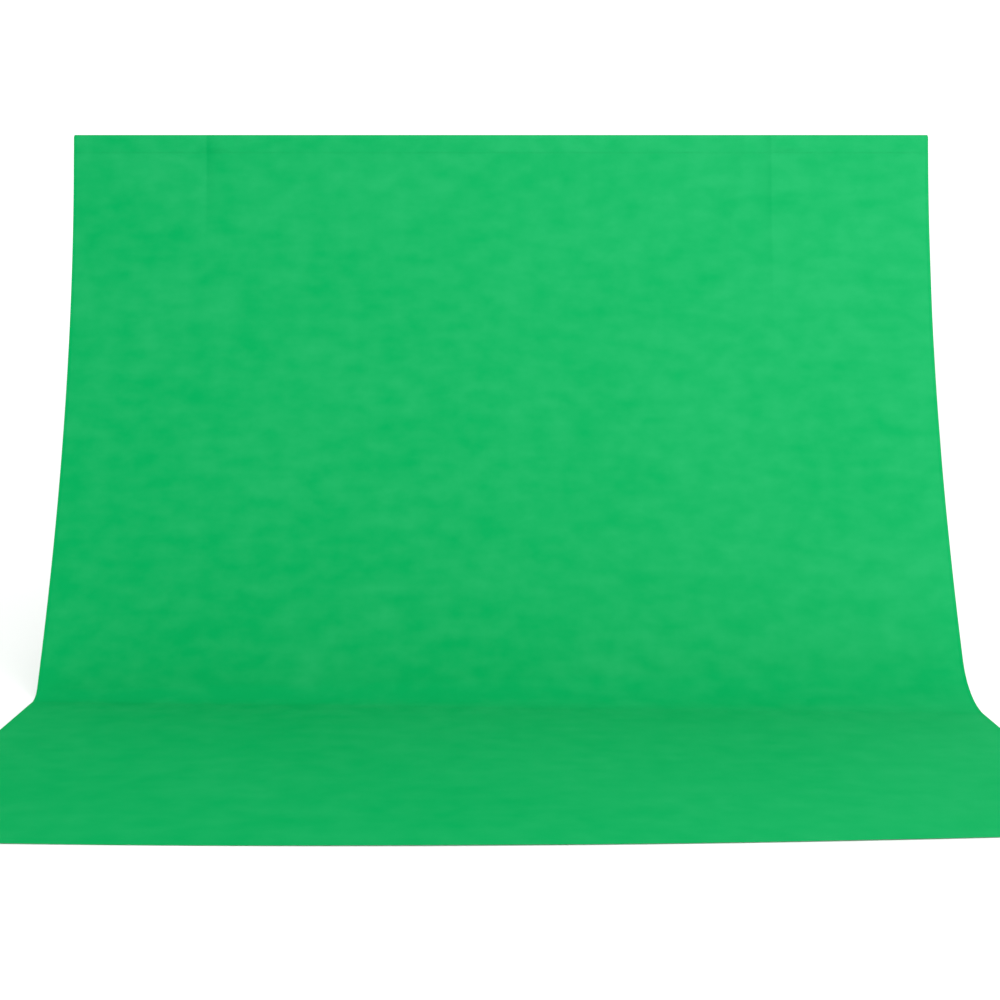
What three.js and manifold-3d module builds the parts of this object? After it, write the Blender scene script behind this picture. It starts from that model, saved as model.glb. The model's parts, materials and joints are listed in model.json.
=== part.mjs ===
// Portable backdrop support with its cloth. Two telescopic tripod stands carry a crossbar
// of four plug-together tubes. The bar runs through the pole pocket of a cloth sheet that
// hangs down in front of the stands, turns through a cove and lies forward on the floor.
// Millimetres, +Z up. The front faces -Y, and the floor is z = 0.

import * as THREE from 'three';
import { mergeVertices } from 'three/addons/utils/BufferGeometryUtils.js';
import Module from 'manifold-3d';

const wasm = await Module();
wasm.setup();

// ---------------------------------------------------------------- driving dimensions

const GAP = 0.3; // clearance between neighbouring pieces
const ROUND = 20; // facets round a tube
const SMALL_ROUND = 10; // facets round a pin or a screw
const SPREAD = 1000; // each stand's distance from the middle
const OVERLAP = 1; // how far a piece that is joined or cut away runs past a flat face
const EMBED = 3; // how far one runs into a round wall, or past it

// The cloth. Lean is the slope, forward over down, at the stitch line below the pocket.
const SHEET = { width: 3000, top: 1867, reach: 1508, thick: 1.5, lean: 0.0732 };
const COVE = { radius: 147, entry: THREE.MathUtils.degToRad(24) };
const POCKET = { wall: 1, halfDepth: 19, rise: 15.4, drop: 50 };
const MOUTH = { half: 33, above: 9 }; // the opening in the pocket's back at each cradle
const HEM_FOOT = 1.5; // how thick the pocket's foot is, in layers
const HEM_GAP = 0.4; // the cloth left inside the pocket's front where a mouth is cut

const BAR = { outer: 14, inner: 12.9, length: 740, count: 4 };
const PLUG = { outer: 12.6, inner: 11.5, length: 50, taper: 6, root: 10 };
const BUTTON = { radius: 2.7, along: 25, flange: 4.2, back: 8, shoulder: 10.2, top: 16.5 };
const DOME = 1; // the bevel on a button's tip
const CAP = { flange: 3, plug: 20 };

// The telescopic column: outer and inner radius, and the heights it runs between.
const LOWER = { outer: 12.5, inner: 11.3, from: 85, to: 706 };
const MID = { outer: 11, inner: 9.8, from: 645, to: 1253 };
const UPPER = { outer: 9.5, inner: 8.3, from: 1190, to: 1800 };
const SPIGOT = { radius: 8, from: 1770, to: 1827, groove: 6.6, grooveAt: 1812, bevel: 1.5 };
const GROOVE = { half: 2, taper: 2 };
const CLAMP = { outer: 17.5, below: 23, above: 22, screwAbove: 11 };
const BOSS = { radius: 9, inner: 14, end: 27 };
const SCREW = { radius: 3, tipGap: 0.5 };
const KNOB = { radius: 12.5, lobe: 1.8, lobes: 5, hub: 6.5, standoff: 2, thick: 14, points: 30 };

const LEG = {
  length: 500, angle: Math.PI / 4, pivotRadius: 30, width: 11, depth: 10, eye: 6, hidden: 20,
};
const FOOT = { half: 8, width: 14, sleeve: 48 };
const BRACE = { attach: 300, footHeight: 96.4, inner: 7.5, outer: 10, half: 6 };
const RIVET = { radius: 2.2, half: 11 };
const EAR = { inner: 5.9, outer: 9.4, radius: 7 };
const LUG = { half: 7.2, radius: 6 };
const COLLAR = { outer: 19.5, below: 12, above: 16, bossEnd: 28, bossRadius: 8, screwUp: 2 };
const BASE = { from: 80, to: 112, floor: 4.7, outer: 19 };
const SADDLE = {
  inner: 14.3, outer: 17.1, half: 20, lip: 2, sleeve: 12, stemDrop: 10, rest: 0.5,
  bossRadius: 7.5, bossEnd: 25,
};
const LEG_TURNS = { back: 90, outer: 210, inner: 330 }; // degrees round the left stand
const LOCK_TURN = 150; // and where its leg collar's lock is
const EYE_NECK = Math.PI / 5; // how far a leg's eye wraps down past its middle

// ------------------------------------------------------------------- derived places

const barZ = SHEET.top - POCKET.rise;
const stitchZ = barZ - POCKET.drop;
const barHalf = (BAR.length * BAR.count) / 2;
const legPivotZ = LEG.length * Math.cos(LEG.angle);
const footReach = LEG.pivotRadius + (LEG.length + 2 * FOOT.half) * Math.sin(LEG.angle);
const braceRise = legPivotZ - BRACE.attach * Math.cos(LEG.angle) - BRACE.footHeight;
const braceRun = BRACE.attach * Math.sin(LEG.angle);
const braceLength = Math.hypot(braceRun, braceRise);
const braceAngle = Math.atan2(braceRun, braceRise);
const clothFront = POCKET.halfDepth + SHEET.reach;
const columnY = (clothFront - footReach) / 2; // puts the origin under the middle

// ------------------------------------------------------------------------- finishes

const finish = (color, roughness, metalness) =>
  new THREE.MeshStandardMaterial({ color, roughness, metalness });
const TUBE_BLACK = finish(0x17181a, 0.38, 0.6);
const BAR_SILVER = finish(0xb9bcc0, 0.35, 0.9);
const CAST_BLACK = finish(0x1b1c1e, 0.6, 0.0);
const KNOB_BLACK = finish(0x121314, 0.5, 0.0);
const RUBBER = finish(0x0e0e0f, 0.85, 0.0);
const STEEL = finish(0xc9ccd0, 0.25, 1.0);
const GREEN_CLOTH = finish(0x16b767, 0.95, 0.0);

// --------------------------------------------------------------------- shape helpers

const X = new THREE.Vector3(1, 0, 0);
const Y = new THREE.Vector3(0, 1, 0);
const Z = new THREE.Vector3(0, 0, 1);

// A closed geometry as a solid that can be joined and cut.
function solid(geometry) {
  const bare = geometry.clone();
  bare.deleteAttribute('normal');
  bare.deleteAttribute('uv');
  const merged = mergeVertices(bare, 1e-4);
  const corners = merged.index.array;
  const kept = [];
  for (let i = 0; i < corners.length; i += 3) {
    const [a, b, c] = corners.slice(i, i + 3);
    if (a !== b && b !== c && c !== a) kept.push(a, b, c);
  }
  return new wasm.Manifold(new wasm.Mesh({
    numProp: 3,
    vertProperties: merged.attributes.position.array,
    triVerts: Uint32Array.from(kept),
  }));
}

// A body with pieces joined on, and then others cut away.
function shaped(body, joined = [], removed = []) {
  let result = solid(body);
  for (const piece of joined) result = result.add(solid(piece));
  for (const piece of removed) result = result.subtract(solid(piece));
  const { numProp, vertProperties, triVerts } = result.getMesh();
  const geometry = new THREE.BufferGeometry();
  geometry.setAttribute('position', new THREE.BufferAttribute(vertProperties, numProp));
  geometry.setIndex(new THREE.BufferAttribute(triVerts, 1));
  geometry.computeVertexNormals();
  return geometry;
}

// A profile of [radius, height] pairs turned about the Z axis. It runs up the outside.
function turned(profile, facets = ROUND) {
  const points = profile.map(([radius, height]) => new THREE.Vector2(radius, height));
  if (points[0].x > 0) points.push(points[0].clone());
  return new THREE.LatheGeometry(points, facets).rotateX(Math.PI / 2);
}

// A straight tube about the Z axis, for its radii and the heights it runs between.
const tube = ({ outer, inner, from, to }) =>
  turned([[outer, from], [outer, to], [inner, to], [inner, from]]);

// A rod along the X axis.
const rod = (radius, from, to, facets = SMALL_ROUND) =>
  new THREE.CylinderGeometry(radius, radius, to - from, facets)
    .rotateZ(-Math.PI / 2).translate((from + to) / 2, 0, 0);

// A rod along the Y axis.
const crossRod = (radius, half, facets = SMALL_ROUND) =>
  new THREE.CylinderGeometry(radius, radius, 2 * half, facets);

// A box between two corners.
const block = (x0, x1, y0, y1, z0, z1) =>
  new THREE.BoxGeometry(x1 - x0, y1 - y0, z1 - z0)
    .translate((x0 + x1) / 2, (y0 + y1) / 2, (z0 + z1) / 2);

// A shape drawn in Y and Z, carried along X, centred.
function alongX(shape, length) {
  const geometry = new THREE.ExtrudeGeometry(shape, {
    depth: length, bevelEnabled: false, curveSegments: ROUND / 2,
  });
  geometry.translate(0, 0, -length / 2);
  return geometry.applyMatrix4(new THREE.Matrix4().makeBasis(Y, Z, X));
}

// A shape drawn in X and Z, carried along Y between two places.
function alongY(shape, from, to) {
  const geometry = new THREE.ExtrudeGeometry(shape, {
    depth: to - from, bevelEnabled: false, curveSegments: SMALL_ROUND / 2,
  });
  geometry.applyMatrix4(new THREE.Matrix4().makeBasis(X, Z, Y.clone().negate()));
  return geometry.translate(0, to, 0);
}

// A flat link in X and Z with round ends, from the origin up to a height.
function link(half, height) {
  const shape = new THREE.Shape();
  shape.absarc(0, height, half, 0, Math.PI, false);
  shape.absarc(0, 0, half, Math.PI, 2 * Math.PI, false);
  return shape;
}

// A tongue in X and Z that runs outwards from one radius to a round end about a pivot.
function tongue(from, pivot, half) {
  const shape = new THREE.Shape();
  shape.moveTo(from, half);
  shape.lineTo(from, -half);
  shape.absarc(pivot, 0, half, -Math.PI / 2, Math.PI / 2, false);
  return shape;
}

// A named piece of the object.
function piece(name, geometry, material) {
  const mesh = new THREE.Mesh(geometry, material);
  mesh.name = name;
  return mesh;
}

// A group turned about the upright axis, in which X points away from the column.
function facing(degrees, ...members) {
  const group = new THREE.Group();
  group.rotation.z = THREE.MathUtils.degToRad(degrees);
  group.add(...members);
  return group;
}

// ---------------------------------------------------------------------------- knobs

// A lobed hand knob on a screw along X. Its tip ends at one radius, its boss at another.
function knob(tip, seat) {
  const shape = new THREE.Shape();
  for (let i = 0; i < KNOB.points; i += 1) {
    const turn = (i / KNOB.points) * 2 * Math.PI;
    const radius = KNOB.radius + KNOB.lobe * Math.cos(KNOB.lobes * turn);
    const [x, y] = [radius * Math.cos(turn), radius * Math.sin(turn)];
    if (i === 0) shape.moveTo(x, y);
    else shape.lineTo(x, y);
  }
  const head = alongX(shape, KNOB.thick);
  const face = seat + GAP + KNOB.standoff;
  head.translate(face + KNOB.thick / 2, 0, 0);
  const hub = rod(KNOB.hub, seat + GAP, face + OVERLAP);
  return shaped(head, [hub, rod(SCREW.radius, tip, face + OVERLAP)]);
}

// The clearance hole of a lock screw, from inside one radius to past a boss's end.
const screwHole = (from, to) => rod(SCREW.radius + GAP, from - EMBED, to + EMBED);

// --------------------------------------------------------------------- stand columns

// The clamp collar on the top end of an outer tube, with a stepped bore for the inner one.
function clampCollar(outerTube, innerTube) {
  const step = outerTube.to + GAP;
  const [bottom, top] = [outerTube.to - CLAMP.below, outerTube.to + CLAMP.above];
  const ring = turned([
    [CLAMP.outer, bottom], [CLAMP.outer, top], [innerTube.outer + GAP, top],
    [innerTube.outer + GAP, step], [outerTube.outer + GAP, step],
    [outerTube.outer + GAP, bottom],
  ]);
  const height = outerTube.to + CLAMP.screwAbove;
  const boss = rod(BOSS.radius, BOSS.inner, BOSS.end, ROUND).rotateZ(Math.PI / 2);
  const hole = screwHole(innerTube.outer, BOSS.end).rotateZ(Math.PI / 2);
  return shaped(ring, [boss.translate(0, 0, height)], [hole.translate(0, 0, height)]);
}

// The lock knob of one clamp collar.
function clampKnob(name, outerTube, innerTube) {
  const tip = innerTube.outer + SCREW.tipGap;
  const mesh = piece(name, knob(tip, BOSS.end), KNOB_BLACK);
  mesh.position.z = outerTube.to + CLAMP.screwAbove;
  return mesh;
}

// The stud in the top of a column, with a groove round its neck.
const spigot = () => turned([
  [0, SPIGOT.from], [SPIGOT.radius, SPIGOT.from],
  [SPIGOT.radius, SPIGOT.grooveAt - GROOVE.half - GROOVE.taper],
  [SPIGOT.groove, SPIGOT.grooveAt - GROOVE.half],
  [SPIGOT.groove, SPIGOT.grooveAt + GROOVE.half],
  [SPIGOT.radius, SPIGOT.grooveAt + GROOVE.half + GROOVE.taper],
  [SPIGOT.radius, SPIGOT.to - SPIGOT.bevel], [SPIGOT.radius - SPIGOT.bevel, SPIGOT.to],
  [0, SPIGOT.to],
]);

// The open-topped saddle that the crossbar lies in, with a sleeve over the spigot.
function cradle() {
  const { inner, outer, lip, half, sleeve, bossRadius, bossEnd } = SADDLE;
  const shape = new THREE.Shape();
  shape.moveTo(-outer, lip);
  shape.absarc(0, 0, outer, Math.PI, 2 * Math.PI, false);
  shape.lineTo(outer, lip);
  shape.lineTo(inner, lip);
  shape.absarc(0, 0, inner, 2 * Math.PI, Math.PI, true);
  shape.lineTo(-inner, lip);
  const trough = alongX(shape, 2 * half).translate(0, 0, barZ);
  const [bottom, top] = [UPPER.to + SADDLE.rest, barZ - SADDLE.stemDrop];
  const stem = turned([[0, bottom], [sleeve, bottom], [sleeve, top], [0, top]]);
  const boss = rod(bossRadius, outer - EMBED, bossEnd, ROUND).rotateZ(Math.PI / 2);
  const channel = rod(inner, -half - OVERLAP, half + OVERLAP, ROUND).translate(0, 0, barZ);
  const boreTop = SPIGOT.to + GAP;
  const bore = turned([
    [0, bottom - OVERLAP], [SPIGOT.radius + GAP, bottom - OVERLAP],
    [SPIGOT.radius + GAP, boreTop], [0, boreTop],
  ]);
  const hole = screwHole(inner, bossEnd).rotateZ(Math.PI / 2).translate(0, 0, barZ);
  return shaped(trough, [stem, boss.translate(0, 0, barZ)], [channel, bore, hole]);
}

// ------------------------------------------------------------------------ tripod base

// The sliding collar with a pair of ears for each leg and a boss for its lock.
function legCollar(screwTurn) {
  const ring = turned([
    [COLLAR.outer, -COLLAR.below], [COLLAR.outer, COLLAR.above],
    [LOWER.outer + GAP, COLLAR.above], [LOWER.outer + GAP, -COLLAR.below],
  ]);
  const ears = [];
  const holes = [];
  for (const degrees of Object.values(LEG_TURNS)) {
    const turn = THREE.MathUtils.degToRad(degrees);
    const shape = tongue(COLLAR.outer - EMBED, LEG.pivotRadius, EAR.radius);
    ears.push(alongY(shape, EAR.inner, EAR.outer).rotateZ(turn));
    ears.push(alongY(shape, -EAR.outer, -EAR.inner).rotateZ(turn));
    const hole = crossRod(RIVET.radius + GAP, EAR.outer + OVERLAP);
    holes.push(hole.translate(LEG.pivotRadius, 0, 0).rotateZ(turn));
  }
  const turn = THREE.MathUtils.degToRad(screwTurn);
  const boss = rod(COLLAR.bossRadius, COLLAR.outer - EMBED, COLLAR.bossEnd, ROUND);
  const hole = screwHole(LOWER.outer, COLLAR.bossEnd);
  ears.push(boss.translate(0, 0, COLLAR.screwUp).rotateZ(turn));
  holes.push(hole.translate(0, 0, COLLAR.screwUp).rotateZ(turn));
  return shaped(ring, ears, holes);
}

// The fixed collar at the foot of the column, with a lug for each brace.
function baseCollar() {
  const ring = turned([
    [0, BASE.from], [BASE.outer, BASE.from], [BASE.outer, BASE.to],
    [LOWER.outer + GAP, BASE.to], [LOWER.outer + GAP, BASE.from + BASE.floor],
    [0, BASE.from + BASE.floor],
  ]);
  const lugs = [];
  const holes = [];
  for (const degrees of Object.values(LEG_TURNS)) {
    const turn = THREE.MathUtils.degToRad(degrees);
    const shape = tongue(BASE.outer - EMBED, LEG.pivotRadius, LUG.radius);
    const lug = alongY(shape, -LUG.half, LUG.half);
    lugs.push(lug.translate(0, 0, BRACE.footHeight).rotateZ(turn));
    const hole = crossRod(RIVET.radius + GAP, LUG.half + OVERLAP);
    holes.push(hole.translate(LEG.pivotRadius, 0, BRACE.footHeight).rotateZ(turn));
  }
  return shaped(ring, lugs, holes);
}

// A leg that hangs from its rivet at the origin.
function leg() {
  const shape = new THREE.Shape();
  const [half, end] = [LEG.depth / 2, -(LEG.length - LEG.hidden)];
  shape.moveTo(half, end);
  shape.lineTo(half, -LEG.eye);
  shape.absarc(0, 0, LEG.eye, -EYE_NECK, Math.PI + EYE_NECK, false);
  shape.lineTo(-half, -LEG.eye);
  shape.lineTo(-half, end);
  const bar = alongY(shape, -LEG.width / 2, LEG.width / 2);
  return shaped(bar, [crossRod(RIVET.radius, RIVET.half)]);
}

// The rubber boot on a spread leg, in the plane of the leg, cut flat on the floor.
function foot() {
  const along = (s, side) => [
    LEG.pivotRadius + s * Math.sin(LEG.angle) + side * Math.cos(LEG.angle),
    legPivotZ - s * Math.cos(LEG.angle) + side * Math.sin(LEG.angle),
  ];
  const top = LEG.length - FOOT.sleeve;
  const shape = new THREE.Shape();
  shape.moveTo(...along(top, FOOT.half));
  shape.lineTo(...along(top, -FOOT.half));
  shape.lineTo(along(LEG.length - FOOT.half, -FOOT.half)[0], 0);
  shape.lineTo(along(LEG.length + FOOT.half, FOOT.half)[0], 0);
  const [depth, wide] = [LEG.depth / 2 + GAP, LEG.width / 2 + GAP];
  const floor = -LEG.length + LEG.hidden - GAP;
  const socket = block(-depth, depth, -wide, wide, floor, -top + OVERLAP);
  socket.rotateY(-LEG.angle).translate(LEG.pivotRadius, 0, legPivotZ);
  return shaped(alongY(shape, -FOOT.width / 2, FOOT.width / 2), [], [socket]);
}

// A pair of straps that stand up from one rivet at the origin.
function brace() {
  const shape = link(BRACE.half, braceLength);
  const near = alongY(shape, BRACE.inner, BRACE.outer);
  const far = alongY(shape, -BRACE.outer, -BRACE.inner);
  return shaped(near, [far, crossRod(RIVET.radius, BRACE.outer - OVERLAP)]);
}

// One leg with its boot and brace, named for the way it points.
function legSet(side, way, degrees) {
  const bar = piece(`${side}_leg_${way}`, leg(), TUBE_BLACK);
  bar.position.set(LEG.pivotRadius, 0, legPivotZ);
  bar.rotation.y = -LEG.angle;
  const boot = piece(`${side}_foot_${way}`, foot(), RUBBER);
  const straps = piece(`${side}_brace_${way}`, brace(), STEEL);
  straps.position.set(LEG.pivotRadius, 0, BRACE.footHeight);
  straps.rotation.y = braceAngle;
  return facing(degrees, bar, boot, straps);
}

// A whole stand. The right one is the left one's mirror image, so its turns are mirrored.
function stand(side, sign) {
  const group = new THREE.Group();
  const mirrored = (degrees) => (sign < 0 ? degrees : 180 - degrees);
  const collar = piece(`${side}_leg_collar`, legCollar(mirrored(LOCK_TURN)), CAST_BLACK);
  collar.position.z = legPivotZ;
  const collarKnob = piece(
    `${side}_collar_knob`, knob(LOWER.outer + SCREW.tipGap, COLLAR.bossEnd), KNOB_BLACK);
  collarKnob.position.z = legPivotZ + COLLAR.screwUp;
  const barKnob = piece(
    `${side}_cradle_knob`, knob(BAR.outer + SCREW.tipGap, SADDLE.bossEnd), KNOB_BLACK);
  barKnob.position.z = barZ;
  group.add(
    piece(`${side}_lower_tube`, tube(LOWER), TUBE_BLACK),
    piece(`${side}_mid_tube`, tube(MID), TUBE_BLACK),
    piece(`${side}_upper_tube`, tube(UPPER), TUBE_BLACK),
    piece(`${side}_lower_clamp`, clampCollar(LOWER, MID), CAST_BLACK),
    piece(`${side}_mid_clamp`, clampCollar(MID, UPPER), CAST_BLACK),
    piece(`${side}_spigot`, spigot(), STEEL),
    piece(`${side}_cradle`, cradle(), CAST_BLACK),
    piece(`${side}_base_collar`, baseCollar(), CAST_BLACK),
    collar,
    facing(mirrored(LOCK_TURN), collarKnob),
    facing(90, clampKnob(`${side}_lower_knob`, LOWER, MID)),
    facing(90, clampKnob(`${side}_mid_knob`, MID, UPPER)),
    facing(90, barKnob),
  );
  for (const [way, degrees] of Object.entries(LEG_TURNS)) {
    group.add(legSet(side, way, mirrored(degrees)));
  }
  group.position.set(sign * SPREAD, columnY, 0);
  return group;
}

// --------------------------------------------------------------------------- crossbar

// One crossbar tube along X. All but the last end in a plug that enters the next one.
function barSection(index) {
  const start = -barHalf + index * BAR.length;
  const [from, to] = [start + GAP / 2, start + BAR.length - GAP / 2];
  const last = index === BAR.count - 1;
  const plugEnd = start + BAR.length + PLUG.length;
  const profile = last
    ? [[BAR.outer, from], [BAR.outer, to], [BAR.inner, to], [BAR.inner, from]]
    : [
      [BAR.outer, from], [BAR.outer, to], [PLUG.outer, to], [PLUG.outer, plugEnd],
      [PLUG.inner, plugEnd], [PLUG.inner, to - PLUG.root],
      [BAR.inner, to - PLUG.root - PLUG.taper], [BAR.inner, from],
    ];
  const holes = [];
  for (const joint of [start, start + BAR.length]) {
    const hole = crossRod(BUTTON.radius + GAP, BUTTON.top).translate(0, BUTTON.top, 0);
    if (Math.abs(joint) < barHalf) holes.push(hole.translate(joint + BUTTON.along, 0, 0));
  }
  return shaped(turned(profile).rotateY(Math.PI / 2), [], holes);
}

// A sprung button that points backwards out of the plug and the tube round it.
const springButton = () => turned([
  [0, BUTTON.back], [BUTTON.flange, BUTTON.back], [BUTTON.flange, BUTTON.shoulder],
  [BUTTON.radius, BUTTON.shoulder], [BUTTON.radius, BUTTON.top - DOME],
  [BUTTON.radius - DOME, BUTTON.top], [0, BUTTON.top],
], SMALL_ROUND).rotateX(-Math.PI / 2);

// A cap whose plug fills the right-hand end of the bar.
const endCap = () => turned([
  [0, barHalf - CAP.plug], [PLUG.outer, barHalf - CAP.plug], [PLUG.outer, barHalf + GAP],
  [BAR.outer, barHalf + GAP], [BAR.outer, barHalf + CAP.flange], [0, barHalf + CAP.flange],
]).rotateY(Math.PI / 2);

// The whole crossbar, with a button in each joint and a cap in each end.
function crossbar() {
  const group = new THREE.Group();
  for (let i = 0; i < BAR.count; i += 1) {
    group.add(piece(`crossbar_section_${i + 1}`, barSection(i), BAR_SILVER));
  }
  for (let i = 1; i < BAR.count; i += 1) {
    const button = piece(`spring_button_${i}`, springButton(), STEEL);
    button.position.x = -barHalf + i * BAR.length + BUTTON.along;
    group.add(button);
  }
  const left = piece('crossbar_cap_left', endCap(), CAST_BLACK);
  left.rotation.z = Math.PI;
  group.add(left, piece('crossbar_cap_right', endCap(), CAST_BLACK));
  group.position.set(0, columnY, barZ);
  return group;
}

// ------------------------------------------------------------------------------ cloth

// The pole pocket round the bar: a front layer, a turn over the bar, and a back layer that
// slants forward to the stitch line. Its back is open where a cradle reaches in.
function pocket() {
  const loop = (inset) => {
    const [halfDepth, rise] = [POCKET.halfDepth - inset, POCKET.rise - inset];
    const foot = -POCKET.drop + HEM_FOOT * inset;
    const shape = new THREE.Shape();
    shape.moveTo(-halfDepth, foot);
    shape.lineTo(-halfDepth + SHEET.thick - inset, foot);
    shape.absellipse(0, 0, halfDepth, rise, 0, Math.PI, false);
    return shape;
  };
  const outline = loop(0);
  outline.holes.push(loop(POCKET.wall));
  const { halfDepth, drop } = POCKET;
  const inside = -halfDepth + POCKET.wall + HEM_GAP;
  const behind = halfDepth + EMBED;
  const mouths = [-SPREAD, SPREAD].flatMap((x) => [
    block(x - MOUTH.half, x + MOUTH.half, inside, behind, -drop - OVERLAP, 0),
    block(x - MOUTH.half, x + MOUTH.half, 0, behind, -OVERLAP, MOUTH.above),
  ]);
  return shaped(alongX(outline, SHEET.width), [], mouths);
}

// The sheet below the stitch line, in profile: a hanging part whose lean grows downwards,
// a round cove, and a flat part on the floor. Distances are forward and up.
function sheet() {
  const coveTop = SHEET.thick + COVE.radius * (1 - Math.sin(COVE.entry));
  const top = stitchZ - GAP;
  const drop = top - coveTop;
  const bow = (Math.tan(COVE.entry) - SHEET.lean) / (2 * drop);
  const face = [];
  const hangSteps = 10;
  for (let i = 0; i <= hangSteps; i += 1) {
    const down = (i / hangSteps) * drop;
    const slope = SHEET.lean + 2 * bow * down;
    face.push([SHEET.lean * down + bow * down * down, top - down, Math.atan(slope)]);
  }
  const coveStart = face[hangSteps][0] + COVE.radius * Math.cos(COVE.entry);
  const coveSteps = 6;
  for (let i = 1; i <= coveSteps; i += 1) {
    const turn = COVE.entry + (i / coveSteps) * (Math.PI / 2 - COVE.entry);
    const forward = coveStart - COVE.radius * Math.cos(turn);
    face.push([forward, SHEET.thick + COVE.radius * (1 - Math.sin(turn)), turn]);
  }
  face.push([SHEET.reach, SHEET.thick, Math.PI / 2]);
  const back = face.map(([forward, height, turn]) => [
    forward - SHEET.thick * Math.cos(turn), height - SHEET.thick * Math.sin(turn),
  ]);
  const outline = [...face, ...back.reverse()];
  const shape = new THREE.Shape(outline.map(([f, z]) => new THREE.Vector2(-f, z)));
  return alongX(shape, SHEET.width);
}

// ------------------------------------------------------------------------- the object

const support = new THREE.Group();
const sheetPiece = piece('backdrop_sheet', sheet(), GREEN_CLOTH);
sheetPiece.position.y = columnY - POCKET.halfDepth;
const pocketPiece = piece('pole_pocket', pocket(), GREEN_CLOTH);
pocketPiece.position.set(0, columnY, barZ);
support.add(stand('left', -1), stand('right', 1), crossbar(), pocketPiece, sheetPiece);

export default support;
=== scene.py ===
"""Looks for a portable backdrop support: a green cloth, its crossbar and two tripod stands.

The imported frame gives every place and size. Each class builds one sub-assembly from
parametric surfaces, dresses it with its finish and ties it to the body that it moves with.
Lengths are metres, +Z is up, and the cloth's front faces -Y.
"""

import json
import logging
import math
from collections.abc import Iterable, Sequence
from dataclasses import dataclass, field
from enum import Enum

import bpy
import numpy as np
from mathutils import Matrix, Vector
from mathutils.geometry import tessellate_polygon


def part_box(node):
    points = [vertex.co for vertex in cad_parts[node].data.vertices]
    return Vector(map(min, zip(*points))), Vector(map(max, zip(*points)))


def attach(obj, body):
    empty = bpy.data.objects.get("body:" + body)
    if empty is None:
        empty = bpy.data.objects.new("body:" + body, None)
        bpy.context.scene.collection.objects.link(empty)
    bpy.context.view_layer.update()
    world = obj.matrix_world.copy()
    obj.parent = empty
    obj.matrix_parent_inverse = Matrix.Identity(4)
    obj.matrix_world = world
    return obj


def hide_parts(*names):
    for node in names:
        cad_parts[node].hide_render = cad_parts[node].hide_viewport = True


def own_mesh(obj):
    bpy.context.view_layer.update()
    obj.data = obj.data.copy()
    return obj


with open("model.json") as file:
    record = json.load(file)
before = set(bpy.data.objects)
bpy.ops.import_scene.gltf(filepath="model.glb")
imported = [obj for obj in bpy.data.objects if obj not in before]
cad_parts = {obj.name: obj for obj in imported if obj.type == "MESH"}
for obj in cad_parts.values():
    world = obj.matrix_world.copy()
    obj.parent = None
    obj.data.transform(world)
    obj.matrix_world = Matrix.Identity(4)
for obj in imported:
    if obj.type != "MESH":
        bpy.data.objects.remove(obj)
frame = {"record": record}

LOG = logging.getLogger("backdrop_support")
MM = 0.001
SEED = 11
TAU = 2 * math.pi
# Points that agree to this many decimals of a metre are one point.
MERGE_DIGITS = 7
# Keeps a division by a length of nothing from failing.
SHORTEST = 1e-15
# The most of a side that one rounded corner may take.
HALF_SIDE = 0.48
# Degrees past which an edge stays sharp.
SHARP = 38.0
# The room between pieces that slide or turn on each other.
CLEAR = 0.3 * MM
SCREW_HOLE = 3.3 * MM
# How the mask of rubbed edges is weighed, cut off and sharpened.
WEAR_GAIN, WEAR_LEVEL, WEAR_SLOPE = 1.6, 1.02, 3.0
# Places of a Mix node's colour sockets.
MIX_FACTOR, MIX_LOW, MIX_HIGH, MIX_RESULT = 0, 6, 7, 2

Place = Sequence[float] | np.ndarray
Colour = Sequence[float] | bpy.types.NodeSocket

AXIS_X = np.array([1.0, 0.0, 0.0])
AXIS_Y = np.array([0.0, 1.0, 0.0])
AXIS_Z = np.array([0.0, 0.0, 1.0])


class Slot(Enum):
    """The record's material slots, one for each finish."""

    CLOTH = "green_cloth"
    TUBE = "black_tube"
    BAR = "silver_bar"
    CAST = "cast_plastic"
    KNOB = "knob_plastic"
    RUBBER = "foot_rubber"
    STEEL = "bright_steel"


class Side(Enum):
    """The two stands, as seen from the front."""

    LEFT = "left"
    RIGHT = "right"


class Way(Enum):
    """The way that a leg points."""

    BACK = "back"
    OUTER = "outer"
    INNER = "inner"


# ------------------------------------------------------------------------ frame lookups


@dataclass(frozen=True)
class Extent:
    """A node's lowest and highest corners."""

    low: np.ndarray
    high: np.ndarray

    @staticmethod
    def of(node: str) -> "Extent":
        """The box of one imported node.

        Args:
            node: The node's name.

        Returns:
            Its extent at rest.
        """
        low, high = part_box(node)
        return Extent(np.array(low), np.array(high))

    @property
    def middle(self) -> np.ndarray:
        """The box's centre."""
        return (self.low + self.high) / 2

    @property
    def half(self) -> np.ndarray:
        """Half its size along each axis."""
        return (self.high - self.low) / 2


def joint_named(name: str) -> dict:
    """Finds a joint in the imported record.

    Args:
        name: The joint's name.

    Returns:
        The joint's entry.
    """
    rows = frame["record"]["behaviour"]["joints"]
    return next(row for row in rows if row["name"] == name)


# ---------------------------------------------------------------------------- surfaces


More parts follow.
